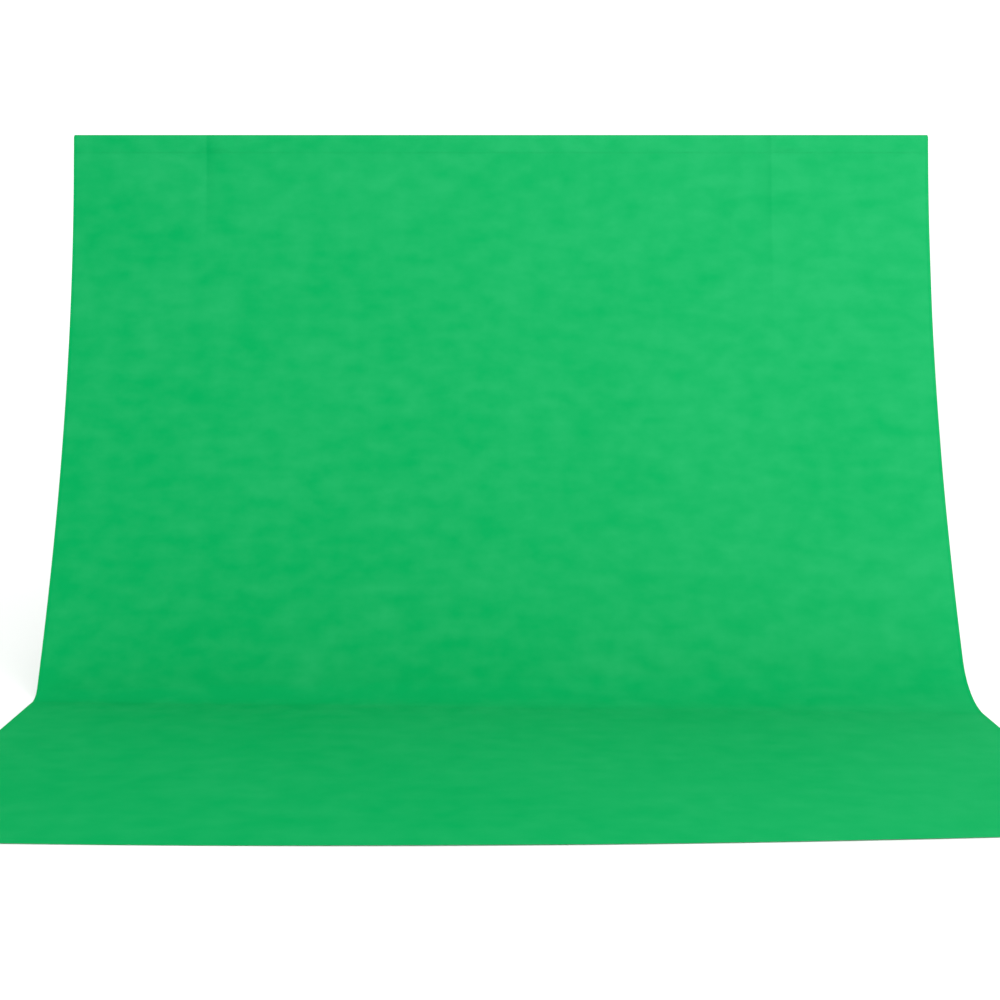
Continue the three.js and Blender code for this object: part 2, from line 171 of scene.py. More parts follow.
@dataclass
class Shell:
    """A surface as points (n, 3) and faces (m, 3) or (m, 4) of point indices."""

    points: np.ndarray
    faces: np.ndarray

    def placed(self, matrix: np.ndarray) -> "Shell":
        """The shell carried by a 4 x 4 matrix.

        Args:
            matrix: Rotation in its first three columns, place in its last.

        Returns:
            A new shell.
        """
        return Shell(self.points @ matrix[:3, :3].T + matrix[:3, 3], self.faces)

    def cleaned(self) -> "Shell":
        """The shell with doubled points merged and collapsed faces dropped, turned outwards.

        The signed volume is the sum of each face's corner triple product, and a negative
        one means that the shell is inside out.

        Returns:
            A closed triangle shell whose faces point out.
        """
        rounded = np.round(self.points, MERGE_DIGITS)
        _, first, index = np.unique(rounded, axis=0, return_index=True, return_inverse=True)
        faces = index.reshape(-1)[self.faces]
        a, b, c = faces.T
        faces = faces[(a != b) & (b != c) & (c != a)]
        points = self.points[first]
        corners = points[faces] - points.mean(0)
        volume = np.einsum("ij,ij->i", corners[:, 0], np.cross(corners[:, 1], corners[:, 2]))
        return Shell(points, faces if volume.sum() >= 0 else faces[:, ::-1])


def joined(shells: Iterable[Shell]) -> Shell:
    """Puts shells side by side in one.

    Args:
        shells: Shells whose faces have the same number of corners.

    Returns:
        One shell.
    """
    shells = list(shells)
    starts = np.cumsum([0] + [len(s.points) for s in shells[:-1]])
    return Shell(
        np.concatenate([s.points for s in shells]),
        np.concatenate([s.faces + start for s, start in zip(shells, starts)]),
    )


def grid_faces(rows: int, columns: int, wrap_rows: bool, wrap_columns: bool) -> np.ndarray:
    """Quads over a grid of points that is stored row by row.

    Args:
        rows: Number of rows of points.
        columns: Number of points in a row.
        wrap_rows: True if the last row joins the first.
        wrap_columns: True if each row's last point joins its first.

    Returns:
        Point indices, shape (m, 4).
    """
    i = np.arange(rows if wrap_rows else rows - 1)
    j = np.arange(columns if wrap_columns else columns - 1)
    i, j = (k.ravel() for k in np.meshgrid(i, j, indexing="ij"))
    up, along = (i + 1) % rows, (j + 1) % columns
    quads = [i * columns + j, i * columns + along, up * columns + along, up * columns + j]
    return np.stack(quads, axis=1)


def as_triangles(quads: np.ndarray) -> np.ndarray:
    """Each quad split in two along its first diagonal."""
    return np.concatenate([quads[:, [0, 1, 2]], quads[:, [0, 2, 3]]])


def divided(points: np.ndarray, closed: bool, longest: float = 9 * MM) -> np.ndarray:
    """An outline whose long sides have points along them.

    A side of length d becomes the next whole number of equal steps that are no longer
    than the longest.

    Args:
        points: The outline.
        closed: False leaves the last point without a side of its own.
        longest: The longest step.

    Returns:
        The outline with its added points.
    """
    start = points if closed else points[:-1]
    side = (np.roll(points, -1, axis=0) if closed else points[1:]) - start
    count = np.maximum(1, np.ceil(np.linalg.norm(side, axis=1) / longest)).astype(int)
    index = np.repeat(np.arange(len(start)), count)
    step = np.arange(count.sum()) - np.repeat(np.cumsum(count) - count, count)
    result = start[index] + (step / count[index])[:, None] * side[index]
    return result if closed else np.concatenate([result, points[-1:]])


def softened(points: Sequence, radius: float, closed: bool = True, steps: int = 4) -> np.ndarray:
    """Rounds each corner of an outline.

    A corner becomes the curve (1-t)^2 a + 2t(1-t) p + t^2 b, where a and b lie the radius
    away from the corner p along its two sides, or just under half way on a short side.

    Args:
        points: The outline's corners.
        radius: How far from a corner its rounding starts.
        closed: False keeps the first and last points as they are.
        steps: Pieces in each rounded corner.

    Returns:
        The rounded outline.
    """
    corners = np.asarray(points, float)
    before, after = np.roll(corners, 1, axis=0), np.roll(corners, -1, axis=0)
    back, onward = before - corners, after - corners
    share = [np.minimum(radius / np.linalg.norm(s, axis=1), HALF_SIDE) for s in (back, onward)]
    start = corners + back * share[0][:, None]
    end = corners + onward * share[1][:, None]
    t = np.linspace(0, 1, steps + 1)[None, :, None]
    curve = (1 - t) ** 2 * start[:, None] + 2 * t * (1 - t) * corners[:, None]
    curve = curve + t**2 * end[:, None]
    if closed:
        return divided(curve.reshape(-1, 2), True)
    inner = curve[1:-1].reshape(-1, 2)
    return divided(np.concatenate([corners[:1], inner, corners[-1:]]), False)


def revolve(
    profile: np.ndarray,
    turns: int = 48,
    closed: bool = True,
    lobes: int = 0,
    depth: float | np.ndarray = 0.0,
) -> Shell:
    """Carries a profile of (radius, height) round Z.

    A point is (r cos t, r sin t, h), where r is the radius times 1 + depth cos(lobes t).

    Args:
        profile: The profile's points.
        turns: Number of steps round the axis.
        closed: True if the profile closes on itself, False if it runs from axis to axis.
        lobes: Number of lobes round the axis.
        depth: How deep the lobes are, one number or one for each point of the profile.

    Returns:
        A closed shell.
    """
    t = np.linspace(0, TAU, turns, endpoint=False)[None, :]
    radius, height = profile[:, :1], profile[:, 1:]
    wave = 1 + np.broadcast_to(depth, len(profile))[:, None] * np.cos(lobes * t)
    grid = np.stack([radius * wave * np.cos(t), radius * wave * np.sin(t), height + 0 * t], -1)
    quads = grid_faces(len(profile), turns, closed, True)
    return Shell(grid.reshape(-1, 3), as_triangles(quads)).cleaned()


def plate(outline: np.ndarray, half: float, rounding: float, steps: int = 3) -> Shell:
    """A flat piece with rounded edges, as layers of one outline.

    Layers stand at heights from -half to half. Near each face a layer shrinks along the
    outline's inward normals by rounding (1 - sin a) while its height runs with cos a.

    Args:
        outline: The piece's outline in X and Y.
        half: Half its thickness, along Z.
        rounding: Radius of its edges.
        steps: Layers in each rounded edge.

    Returns:
        A closed shell.
    """
    outline = divided(outline, True)
    area = np.cross(outline, np.roll(outline, -1, axis=0)).sum()
    outline = outline if area > 0 else outline[::-1]
    side = np.roll(outline, -1, axis=0) - np.roll(outline, 1, axis=0)
    normal = np.stack([side[:, 1], -side[:, 0]], 1)
    normal = normal / np.linalg.norm(normal, axis=1)[:, None]
    a = np.linspace(0, math.pi / 2, steps + 1)
    inset = rounding * (1 - np.sin(a))
    height = half - rounding * (1 - np.cos(a))
    inset = np.concatenate([inset, inset[::-1]])
    height = np.concatenate([-height, height[::-1]])
    layers = outline[None] - normal[None] * inset[:, None, None]
    rise = np.broadcast_to(height[:, None, None], (*layers.shape[:2], 1))
    points = np.concatenate([layers, rise], axis=2)
    count, around = layers.shape[:2]
    flat = [Vector((x, y, 0.0)) for x, y in layers[0]]
    cap = np.array(tessellate_polygon([flat]))
    walls = as_triangles(grid_faces(count, around, False, True))
    cap_up = np.cross(*(layers[0][cap[:, k]] - layers[0][cap[:, 0]] for k in (1, 2)))
    facing = np.where(cap_up[:, None] > 0, cap, cap[:, ::-1])
    lid = facing + (count - 1) * around
    faces = np.concatenate([walls, facing[:, ::-1], lid])
    return Shell(points.reshape(-1, 3), faces).cleaned()


def link_outline(half: float, length: float) -> np.ndarray:
    """A slim outline with round ends that runs up from the origin.

    Args:
        half: Radius of both ends, and half the width.
        length: Distance between the ends' centres.

    Returns:
        The outline's points.
    """
    a = np.linspace(0, math.pi, 15)
    top = np.stack([half * np.cos(a), length + half * np.sin(a)], 1)
    bottom = np.stack([-half * np.cos(a), -half * np.sin(a)], 1)
    return np.concatenate([top, bottom])


def basis(origin: Place, x: np.ndarray, y: np.ndarray, z: np.ndarray) -> np.ndarray:
    """A matrix that carries the local axes to three directions and a place.

    Args:
        origin: Where the local origin goes.
        x: Where local X points.
        y: Where local Y points.
        z: Where local Z points.

    Returns:
        The 4 x 4 matrix.
    """
    matrix = np.eye(4)
    matrix[:3, 0], matrix[:3, 1], matrix[:3, 2], matrix[:3, 3] = x, y, z, origin
    return matrix


def upright(origin: Place) -> np.ndarray:
    """Local axes along the world's, for what is turned about a column."""
    return basis(origin, AXIS_X, AXIS_Y, AXIS_Z)


def moved(by: np.ndarray) -> np.ndarray:
    """A matrix that only shifts."""
    return upright(by)


def lengthwise(origin: Place) -> np.ndarray:
    """Local Z along the crossbar, X backwards and Y up."""
    return basis(origin, AXIS_Y, AXIS_Z, AXIS_X)


def outwards(origin: Place, radial: np.ndarray) -> np.ndarray:
    """Local Z along a level direction, for what is turned about a screw."""
    return basis(origin, np.cross(AXIS_Z, radial), AXIS_Z, radial)


def side_on(origin: Place, radial: np.ndarray) -> np.ndarray:
    """Local X along a level direction and Y up, for what is drawn in side view."""
    return basis(origin, radial, AXIS_Z, np.cross(radial, AXIS_Z))


def tilted(matrix: np.ndarray, angle: float) -> np.ndarray:
    """A side view whose drawing is first turned in its own plane by an angle."""
    turn = np.eye(4)
    turn[:2, :2] = [[math.cos(angle), -math.sin(angle)], [math.sin(angle), math.cos(angle)]]
    return matrix @ turn


# --------------------------------------------------------------------------- node maths


class Wire:
    """One shader value. Arithmetic on it adds Math nodes."""

    def __init__(self, tree: bpy.types.NodeTree, socket: bpy.types.NodeSocket) -> None:
        """Wraps an output socket of a node tree."""
        self.tree = tree
        self.socket = socket

    def math(self, operation: str, *values: "Wire | float") -> "Wire":
        """Adds one Math node.

        Args:
            operation: The Math node's operation.
            *values: What goes into its sockets, in order.

        Returns:
            Its result.
        """
        made = self.tree.nodes.new("ShaderNodeMath")
        made.operation = operation
        for socket, value in zip(made.inputs, values):
            if isinstance(value, Wire):
                self.tree.links.new(value.socket, socket)
            else:
                socket.default_value = float(value)
        return Wire(self.tree, made.outputs[0])

    def __add__(self, other: "Wire | float") -> "Wire":
        """Self plus other."""
        return self.math("ADD", self, other)

    def __radd__(self, other: float) -> "Wire":
        """Other plus self."""
        return self.math("ADD", other, self)

    def __sub__(self, other: "Wire | float") -> "Wire":
        """Self minus other."""
        return self.math("SUBTRACT", self, other)

    def __rsub__(self, other: float) -> "Wire":
        """Other minus self."""
        return self.math("SUBTRACT", other, self)

    def __mul__(self, other: "Wire | float") -> "Wire":
        """Self times other."""
        return self.math("MULTIPLY", self, other)

    def __rmul__(self, other: float) -> "Wire":
        """Other times self."""
        return self.math("MULTIPLY", other, self)

    def __abs__(self) -> "Wire":
        """The value without its sign."""
        return self.math("ABSOLUTE", self)

    def sine(self) -> "Wire":
        """The sine of the value in radians."""
        return self.math("SINE", self)

    def limited(self) -> "Wire":
        """The value held between 0 and 1."""
        return self.math("MINIMUM", self.math("MAXIMUM", self, 0.0), 1.0)


class Bench:
    """A material's node tree on the bench, with its Principled shader ready."""

    def __init__(self, name: str) -> None:
        """Starts a material.

        Args:
            name: The material's name.
        """
        self.material = bpy.data.materials.new(name)
        self.material.use_nodes = True
        self.tree = self.material.node_tree
        self.shader = self.tree.nodes["Principled BSDF"]

    def node(
        self, kind: str, settings: dict | None = None, inputs: dict | None = None
    ) -> bpy.types.Node:
        """Adds any node.

        Args:
            kind: The node's type.
            settings: Its properties, set first.
            inputs: Values, wires or sockets for its input sockets, by name.

        Returns:
            The node.
        """
        made = self.tree.nodes.new(kind)
        for key, value in (settings or {}).items():
            setattr(made, key, value)
        self.feed(made, inputs or {})
        return made

    def feed(self, node: bpy.types.Node, inputs: dict) -> None:
        """Sets or links a node's input sockets.

        Args:
            node: The node.
            inputs: Values, wires or sockets, by socket name.
        """
        for key, value in inputs.items():
            if isinstance(value, Wire):
                self.tree.links.new(value.socket, node.inputs[key])
            elif isinstance(value, bpy.types.NodeSocket):
                self.tree.links.new(value, node.inputs[key])
            else:
                node.inputs[key].default_value = value

    def wire(self, node: bpy.types.Node, output: str) -> Wire:
        """One of a node's outputs as a wire."""
        return Wire(self.tree, node.outputs[output])

    def noise(
        self, vector: bpy.types.NodeSocket, stretch: Sequence[float], detail: float = 2.0
    ) -> Wire:
        """Fractal noise from 0 to 1.

        Args:
            vector: The coordinates.
            stretch: Blotches per metre along each axis.
            detail: Octaves of noise.

        Returns:
            The noise.
        """
        place = self.node("ShaderNodeMapping", inputs={"Vector": vector, "Scale": tuple(stretch)})
        settings = {"noise_dimensions": "3D"}
        inputs = {"Vector": place.outputs["Vector"], "Scale": 1.0, "Detail": detail}
        return self.wire(self.node("ShaderNodeTexNoise", settings, inputs), "Fac")

    def mixed(self, factor: Wire, low: Colour, high: Colour) -> bpy.types.NodeSocket:
        """A colour between two, by a factor.

        Args:
            factor: 0 for the first colour, 1 for the second.
            low: The first colour.
            high: The second colour.

        Returns:
            The colour's socket.
        """
        made = self.node("ShaderNodeMix", {"data_type": "RGBA"})
        self.tree.links.new(factor.socket, made.inputs[MIX_FACTOR])
        for socket, value in ((made.inputs[MIX_LOW], low), (made.inputs[MIX_HIGH], high)):
            if isinstance(value, bpy.types.NodeSocket):
                self.tree.links.new(value, socket)
            else:
                socket.default_value = (*value, 1.0)
        return made.outputs[MIX_RESULT]

    def bumped(self, height: Wire, strength: float, distance: float) -> None:
        """Feeds a height into the shader's normal.

        Args:
            height: The height.
            strength: Share of the bump that shows.
            distance: Metres for one unit of height.
        """
        inputs = {"Height": height, "Strength": strength, "Distance": distance}
        made = self.node("ShaderNodeBump", inputs=inputs)
        self.feed(self.shader, {"Normal": made.outputs["Normal"]})

    def object_place(self) -> bpy.types.NodeSocket:
        """The object's own coordinates, in metres."""
        return self.node("ShaderNodeTexCoord").outputs["Object"]

    def worn(self, vector: bpy.types.NodeSocket, amount: float, blotches: float) -> Wire:
        """A mask of the edges that handling has rubbed.

        It is a point's convexity plus a patchy noise, cut off at a level and sharpened.

        Args:
            vector: The coordinates.
            amount: From 0, as new, to 1.
            blotches: Patches per metre that break the wear up.

        Returns:
            The mask.
        """
        ridge = self.wire(self.node("ShaderNodeAttribute", {"attribute_name": "wear"}), "Fac")
        patch = self.noise(vector, (blotches,) * 3, 3.0)
        rubbed = ridge * WEAR_GAIN + patch - WEAR_LEVEL + amount * 0.3
        return (rubbed * WEAR_SLOPE).limited() * amount


# ----------------------------------------------------------------------------- finishes


@dataclass(frozen=True)
class ClothFinish:
    """Matt green woven cloth, mottled, with painted light that makes it paler towards its top right,
    and painted shade in its cove and beside its creases.
    """

    deep: tuple[float, float, float] = (0.0015, 0.330, 0.085)
    pale: tuple[float, float, float] = (0.0150, 0.366, 0.112)
    # The darker green that painted shade mixes the cloth towards, in its cove and beside its creases.
    painted_shade_colour: tuple[float, float, float] = (0.0010, 0.242, 0.064)
    thread: float = 1.1 * MM
    edge: float = 1.488
    floor_from: float = 1.85
    floor_calm: float = 0.40
    mottle_mean: float = 1.5
    middle: float = 0.59
    # How strongly painted light pales the cloth towards its right and towards its top.
    painted_light_across: float = 0.13
    painted_light_along: float = 0.10
    hem_tone: float = 0.25
    mark_tone: float = 1.2

    def build(self, name: str) -> bpy.types.Material:
        """Makes the material.

        Args:
            name: Its name.

        Returns:
            The material.
        """
        bench = Bench(name)
        flat = bench.node("ShaderNodeUVMap", {"uv_map": "UVMap"}).outputs["UV"]
        streaks = bench.noise(flat, (5.5, 19.0, 1.0), 1.5)
        patches = bench.noise(flat, (12.0, 15.0, 1.0), 3.0)
        clouds = bench.noise(flat, (2.0, 3.2, 1.0), 2.0)
        fibres = bench.noise(flat, (900.0, 900.0, 1.0), 1.0)
        split = bench.node("ShaderNodeSeparateXYZ", inputs={"Vector": flat})
        across, along = bench.wire(split, "X"), bench.wire(split, "Y")
        turns = TAU / self.thread
        weave = (across * turns).sine() * (along * turns).sine()
        hem = ((abs(across) - self.edge) * 400.0).limited()
        tone = bench.wire(bench.node("ShaderNodeAttribute", {"attribute_name": "tone"}), "Fac")
        mottle = patches * 1.3 + streaks * 0.7 + clouds * 0.8 + fibres * 0.2 + weave * 0.12
        # Painted light: the cloth is made paler towards its right and its top, where the light falls
        # most.
        painted_light = across * self.painted_light_across - along * self.painted_light_along
        spread = 1.0 - ((along - self.floor_from) * 5.0).limited() * self.floor_calm
        plain = (mottle - self.mottle_mean) * spread + self.middle + painted_light
        # Painted light and shade from a point attribute: darker in the cove and on one side of each
        # crease, paler on the other side of a crease.
        shade = (plain - hem * self.hem_tone - tone * self.mark_tone).limited()
        dyed = bench.mixed(shade, self.deep, self.pale)
        bench.feed(bench.shader, {"Base Color": bench.mixed(tone.limited(), dyed, self.painted_shade_colour)})
        bench.feed(bench.shader, {"Roughness": 0.88 + fibres * 0.1, "Specular IOR Level": 0.03})
        bench.bumped(weave * 0.25 + streaks * 0.5 + fibres * 0.12, 0.3, 0.0010)
        return bench.material


@dataclass(frozen=True)
class CoatedFinish:
    """Black coated tube with a fine texture, drawn scratches and rubbed edges."""

    base: tuple[float, float, float] = (0.0085, 0.0088, 0.0098)
    bare: tuple[float, float, float] = (0.30, 0.30, 0.31)

    def build(self, name: str) -> bpy.types.Material:
        """Makes the material.

        Args:
            name: Its name.

        Returns:
            The material.
        """
        bench = Bench(name)
        place = bench.object_place()
        grain = bench.noise(place, (1400.0, 1400.0, 1400.0), 2.0)
        drawn = bench.noise(place, (520.0, 520.0, 9.0), 2.0)
        worn = bench.worn(place, 0.7, 160.0)
        bench.feed(bench.shader, {"Base Color": bench.mixed(worn, self.base, self.bare)})
        bench.feed(bench.shader, {"Metallic": worn, "Coat Weight": 0.22 - worn * 0.22})
        bench.feed(bench.shader, {"Specular IOR Level": 0.34, "Coat Roughness": 0.12})
        bench.feed(bench.shader, {"Roughness": 0.30 + drawn * 0.14 + grain * 0.05})
        bench.bumped(grain * 0.6 + drawn * 0.4, 0.25, 0.0001)
        return bench.material


@dataclass(frozen=True)
class DrawnFinish:
    """Satin aluminium with fine marks along the crossbar."""

    base: tuple[float, float, float] = (0.44, 0.45, 0.465)
    light: tuple[float, float, float] = (0.60, 0.605, 0.615)

    def build(self, name: str) -> bpy.types.Material:
        """Makes the material.

        Args:
            name: Its name.

        Returns:
            The material.
        """
        bench = Bench(name)
        place = bench.object_place()
        drawn = bench.noise(place, (11.0, 1500.0, 1500.0), 3.0)
        smudge = bench.noise(place, (22.0, 60.0, 60.0), 2.0)
        bench.feed(bench.shader, {"Base Color": bench.mixed(drawn, self.base, self.light)})
        bench.feed(bench.shader, {"Metallic": 1.0, "Roughness": 0.24 + drawn * 0.16 + smudge * 0.1})
        bench.bumped(drawn, 0.2, 0.0001)
        return bench.material


@dataclass(frozen=True)
class MouldedFinish:
    """Black moulded plastic with a spark-eroded grain."""

    base: tuple[float, float, float] = (0.021, 0.021, 0.0225)
    rubbed: tuple[float, float, float] = (0.075, 0.075, 0.078)
    roughness: float = 0.52
    grain: float = 2300.0

    def build(self, name: str) -> bpy.types.Material:
        """Makes the material.

        Args:
            name: Its name.

        Returns:
            The material.
        """
        bench = Bench(name)
        place = bench.object_place()
        grain = bench.noise(place, (self.grain,) * 3, 2.0)
        smudge = bench.noise(place, (90.0, 90.0, 90.0), 2.0)
        worn = bench.worn(place, 0.8, 240.0)
        bench.feed(bench.shader, {"Base Color": bench.mixed(worn, self.base, self.rubbed)})
        bench.feed(bench.shader, {"Roughness": self.roughness + smudge * 0.16 - worn * 0.15})
        bench.feed(bench.shader, {"Specular IOR Level": 0.4})
        bench.bumped(grain, 0.3, 0.00016)
        return bench.material


@dataclass(frozen=True)
class RubberFinish:
    """Matt black rubber, greyed by floor dust."""

    base: tuple[float, float, float] = (0.011, 0.011, 0.0115)
    dust: tuple[float, float, float] = (0.055, 0.053, 0.050)

    def build(self, name: str) -> bpy.types.Material:
        """Makes the material.

        Args:
            name: Its name.

        Returns:
            The material.
        """
        bench = Bench(name)
        place = bench.object_place()
        pores = bench.noise(place, (1600.0, 1600.0, 1600.0), 2.0)
        dust = bench.noise(place, (120.0, 120.0, 60.0), 4.0)
        film = ((dust - 0.48) * 3.0).limited() * 0.6
        bench.feed(bench.shader, {"Base Color": bench.mixed(film, self.base, self.dust)})
        bench.feed(bench.shader, {"Roughness": 0.78 + film * 0.2, "Specular IOR Level": 0.35})
        bench.bumped(pores * 0.7 + dust * 0.3, 0.35, 0.0002)
        return bench.material


@dataclass(frozen=True)
class PlatedFinish:
    """Bright plated steel with a few handling marks."""

    base: tuple[float, float, float] = (0.56, 0.57, 0.59)
    clouded: tuple[float, float, float] = (0.36, 0.36, 0.37)

    def build(self, name: str) -> bpy.types.Material:
        """Makes the material.

        Args:
            name: Its name.

        Returns:
            The material.
        """
        bench = Bench(name)
        place = bench.object_place()
        smudge = bench.noise(place, (140.0, 140.0, 140.0), 3.0)
        fine = bench.noise(place, (900.0, 900.0, 900.0), 2.0)
        bench.feed(bench.shader, {"Base Color": bench.mixed(smudge, self.base, self.clouded)})
        bench.feed(bench.shader, {"Metallic": 1.0, "Roughness": 0.16 + smudge * 0.16})
        bench.bumped(fine, 0.15, 0.0001)
        return bench.material


@dataclass(frozen=True)
class FloorFinish:
    """The studio's plain pale floor."""

    base: tuple[float, float, float] = (0.90, 0.90, 0.90)
    light: tuple[float, float, float] = (0.92, 0.92, 0.92)

    def build(self, name: str) -> bpy.types.Material:
        """Makes the material.

        Args:
            name: Its name.

        Returns:
            The material.
        """
        bench = Bench(name)
        clouds = bench.noise(bench.object_place(), (0.8, 0.8, 0.8), 2.0)
        bench.feed(bench.shader, {"Base Color": bench.mixed(clouds, self.base, self.light)})
        bench.feed(bench.shader, {"Roughness": 0.9, "Specular IOR Level": 0.1})
        return bench.material


# ------------------------------------------------------------------------------- pieces


def convexity(shell: Shell) -> np.ndarray:
    """How far each point stands out from the faces round it, from 0 to 1.

    It is twice the mean, over the faces at a point, of how much their centres drop below
    the plane across the point's normal, as a share of their distance.

    Args:
        shell: A triangle shell.

    Returns:
        One number for each point.
    """
    corners = shell.points[shell.faces]
    normal = np.cross(corners[:, 1] - corners[:, 0], corners[:, 2] - corners[:, 0])
    normal /= np.maximum(np.linalg.norm(normal, axis=1), SHORTEST)[:, None]
    total = np.zeros_like(shell.points)
    drop = np.zeros(len(shell.points))
    count = np.zeros(len(shell.points))
    for k in range(3):
        np.add.at(total, shell.faces[:, k], normal)
    total /= np.maximum(np.linalg.norm(total, axis=1), SHORTEST)[:, None]
    centre = corners.mean(1)
    for k in range(3):
        spoke = centre - corners[:, k]
        spoke /= np.maximum(np.linalg.norm(spoke, axis=1), SHORTEST)[:, None]
        np.add.at(drop, shell.faces[:, k], -(spoke * total[shell.faces[:, k]]).sum(1))
        np.add.at(count, shell.faces[:, k], 1)
    return np.clip(2 * drop / np.maximum(count, 1), 0, 1)


class Shop:
    """Turns shells into finished pieces that ride on the frame's bodies."""

    def __init__(self) -> None:
        """Makes every finish once."""
        finishes = {
            Slot.CLOTH: ClothFinish(),
            Slot.TUBE: CoatedFinish(),
            Slot.BAR: DrawnFinish(),
            Slot.CAST: MouldedFinish(),
            Slot.KNOB: MouldedFinish(base=(0.013, 0.013, 0.014), roughness=0.40, grain=3000.0),
            Slot.RUBBER: RubberFinish(),
            Slot.STEEL: PlatedFinish(),
        }
        self.materials = {slot: made.build(slot.value) for slot, made in finishes.items()}

    def mesh(self, name: str, shell: Shell, sharp: float) -> bpy.types.Mesh:
        """A Blender mesh from a shell, smooth except at sharp edges.

        Args:
            name: The mesh's name.
            shell: Its points and faces.
            sharp: Angle in degrees past which an edge stays sharp.

        Returns:
            The mesh.
        """
        made = bpy.data.meshes.new(name)
        count, corners = shell.faces.shape
        made.vertices.add(len(shell.points))
        made.loops.add(count * corners)
        made.polygons.add(count)
        made.vertices.foreach_set("co", shell.points.astype(np.float32).ravel())
        made.loops.foreach_set("vertex_index", shell.faces.astype(np.int32).ravel())
        made.polygons.foreach_set("loop_start", np.arange(0, count * corners, corners, np.int32))
        made.polygons.foreach_set("use_smooth", np.ones(count, bool))
        made.update(calc_edges=True)
        made.validate()
        made.set_sharp_from_angle(angle=math.radians(sharp))
        return made

    def piece(
        self,
        name: str,
        shells: Shell | Iterable[Shell],
        slot: Slot,
        body: str,
        replaces: Sequence[str] = (),
        sharp: float = SHARP,
    ) -> bpy.types.Object:
        """Makes one piece, dresses it, and ties it to its body.

        Args:
            name: The piece's name.
            shells: Its closed shells, or a sheet's face before it is thickened.
            slot: Its finish.
            body: The body that it moves with.
            replaces: The nodes that it stands for.
            sharp: Angle in degrees past which an edge stays sharp.

        Returns:
            The piece.
        """
        shell = shells if isinstance(shells, Shell) else joined(shells)
        mesh = self.mesh(name, shell, sharp)
        if shell.faces.shape[1] == 3:
            wear = mesh.attributes.new("wear", "FLOAT", "POINT")
            wear.data.foreach_set("value", convexity(shell).astype(np.float32))
        made = bpy.data.objects.new(name, mesh)
        bpy.context.collection.objects.link(made)
        mesh.materials.append(self.materials[slot])
        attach(made, body)
        if replaces:
            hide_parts(*replaces)
        LOG.info("%s: %d faces on %s", name, len(shell.faces), body)
        return made

    def applied(self, made: bpy.types.Object, sharp: float) -> None:
        """Turns a piece's modifiers into its mesh.

        Args:
            made: The piece.
            sharp: Angle in degrees past which an edge stays sharp.
        """
        plain = made.data
        scene_now = bpy.context.evaluated_depsgraph_get()
        made.data = bpy.data.meshes.new_from_object(made.evaluated_get(scene_now))
        made.modifiers.clear()
        bpy.data.meshes.remove(plain)
        made.data.set_sharp_from_angle(angle=math.radians(sharp))


# -------------------------------------------------------------------------------- knobs


def screw_line(knob: str) -> np.ndarray:
    """Local Z along a knob's screw, from the axis of the tube that it locks."""
    joint = joint_named(f"{knob}_turn")
    return outwards(joint["pos_m"], np.array(joint["axis"], float))


def screw_boss(root: float, seat: float, flank: Sequence, soft: float) -> Shell:
    """The boss that a knob's screw runs in, along Z.

    Args:
        root: Where it starts, inside its collar.
        seat: Its outer face, which the knob's hub meets.
        flank: Its outline between them, as (radius, height).
        soft: How far from a corner its rounding starts.

    Returns:
        The boss, with the screw's hole through it.
    """
    corners = [(SCREW_HOLE, root), *flank, (SCREW_HOLE, seat)]
    return revolve(softened(corners, soft), 48)


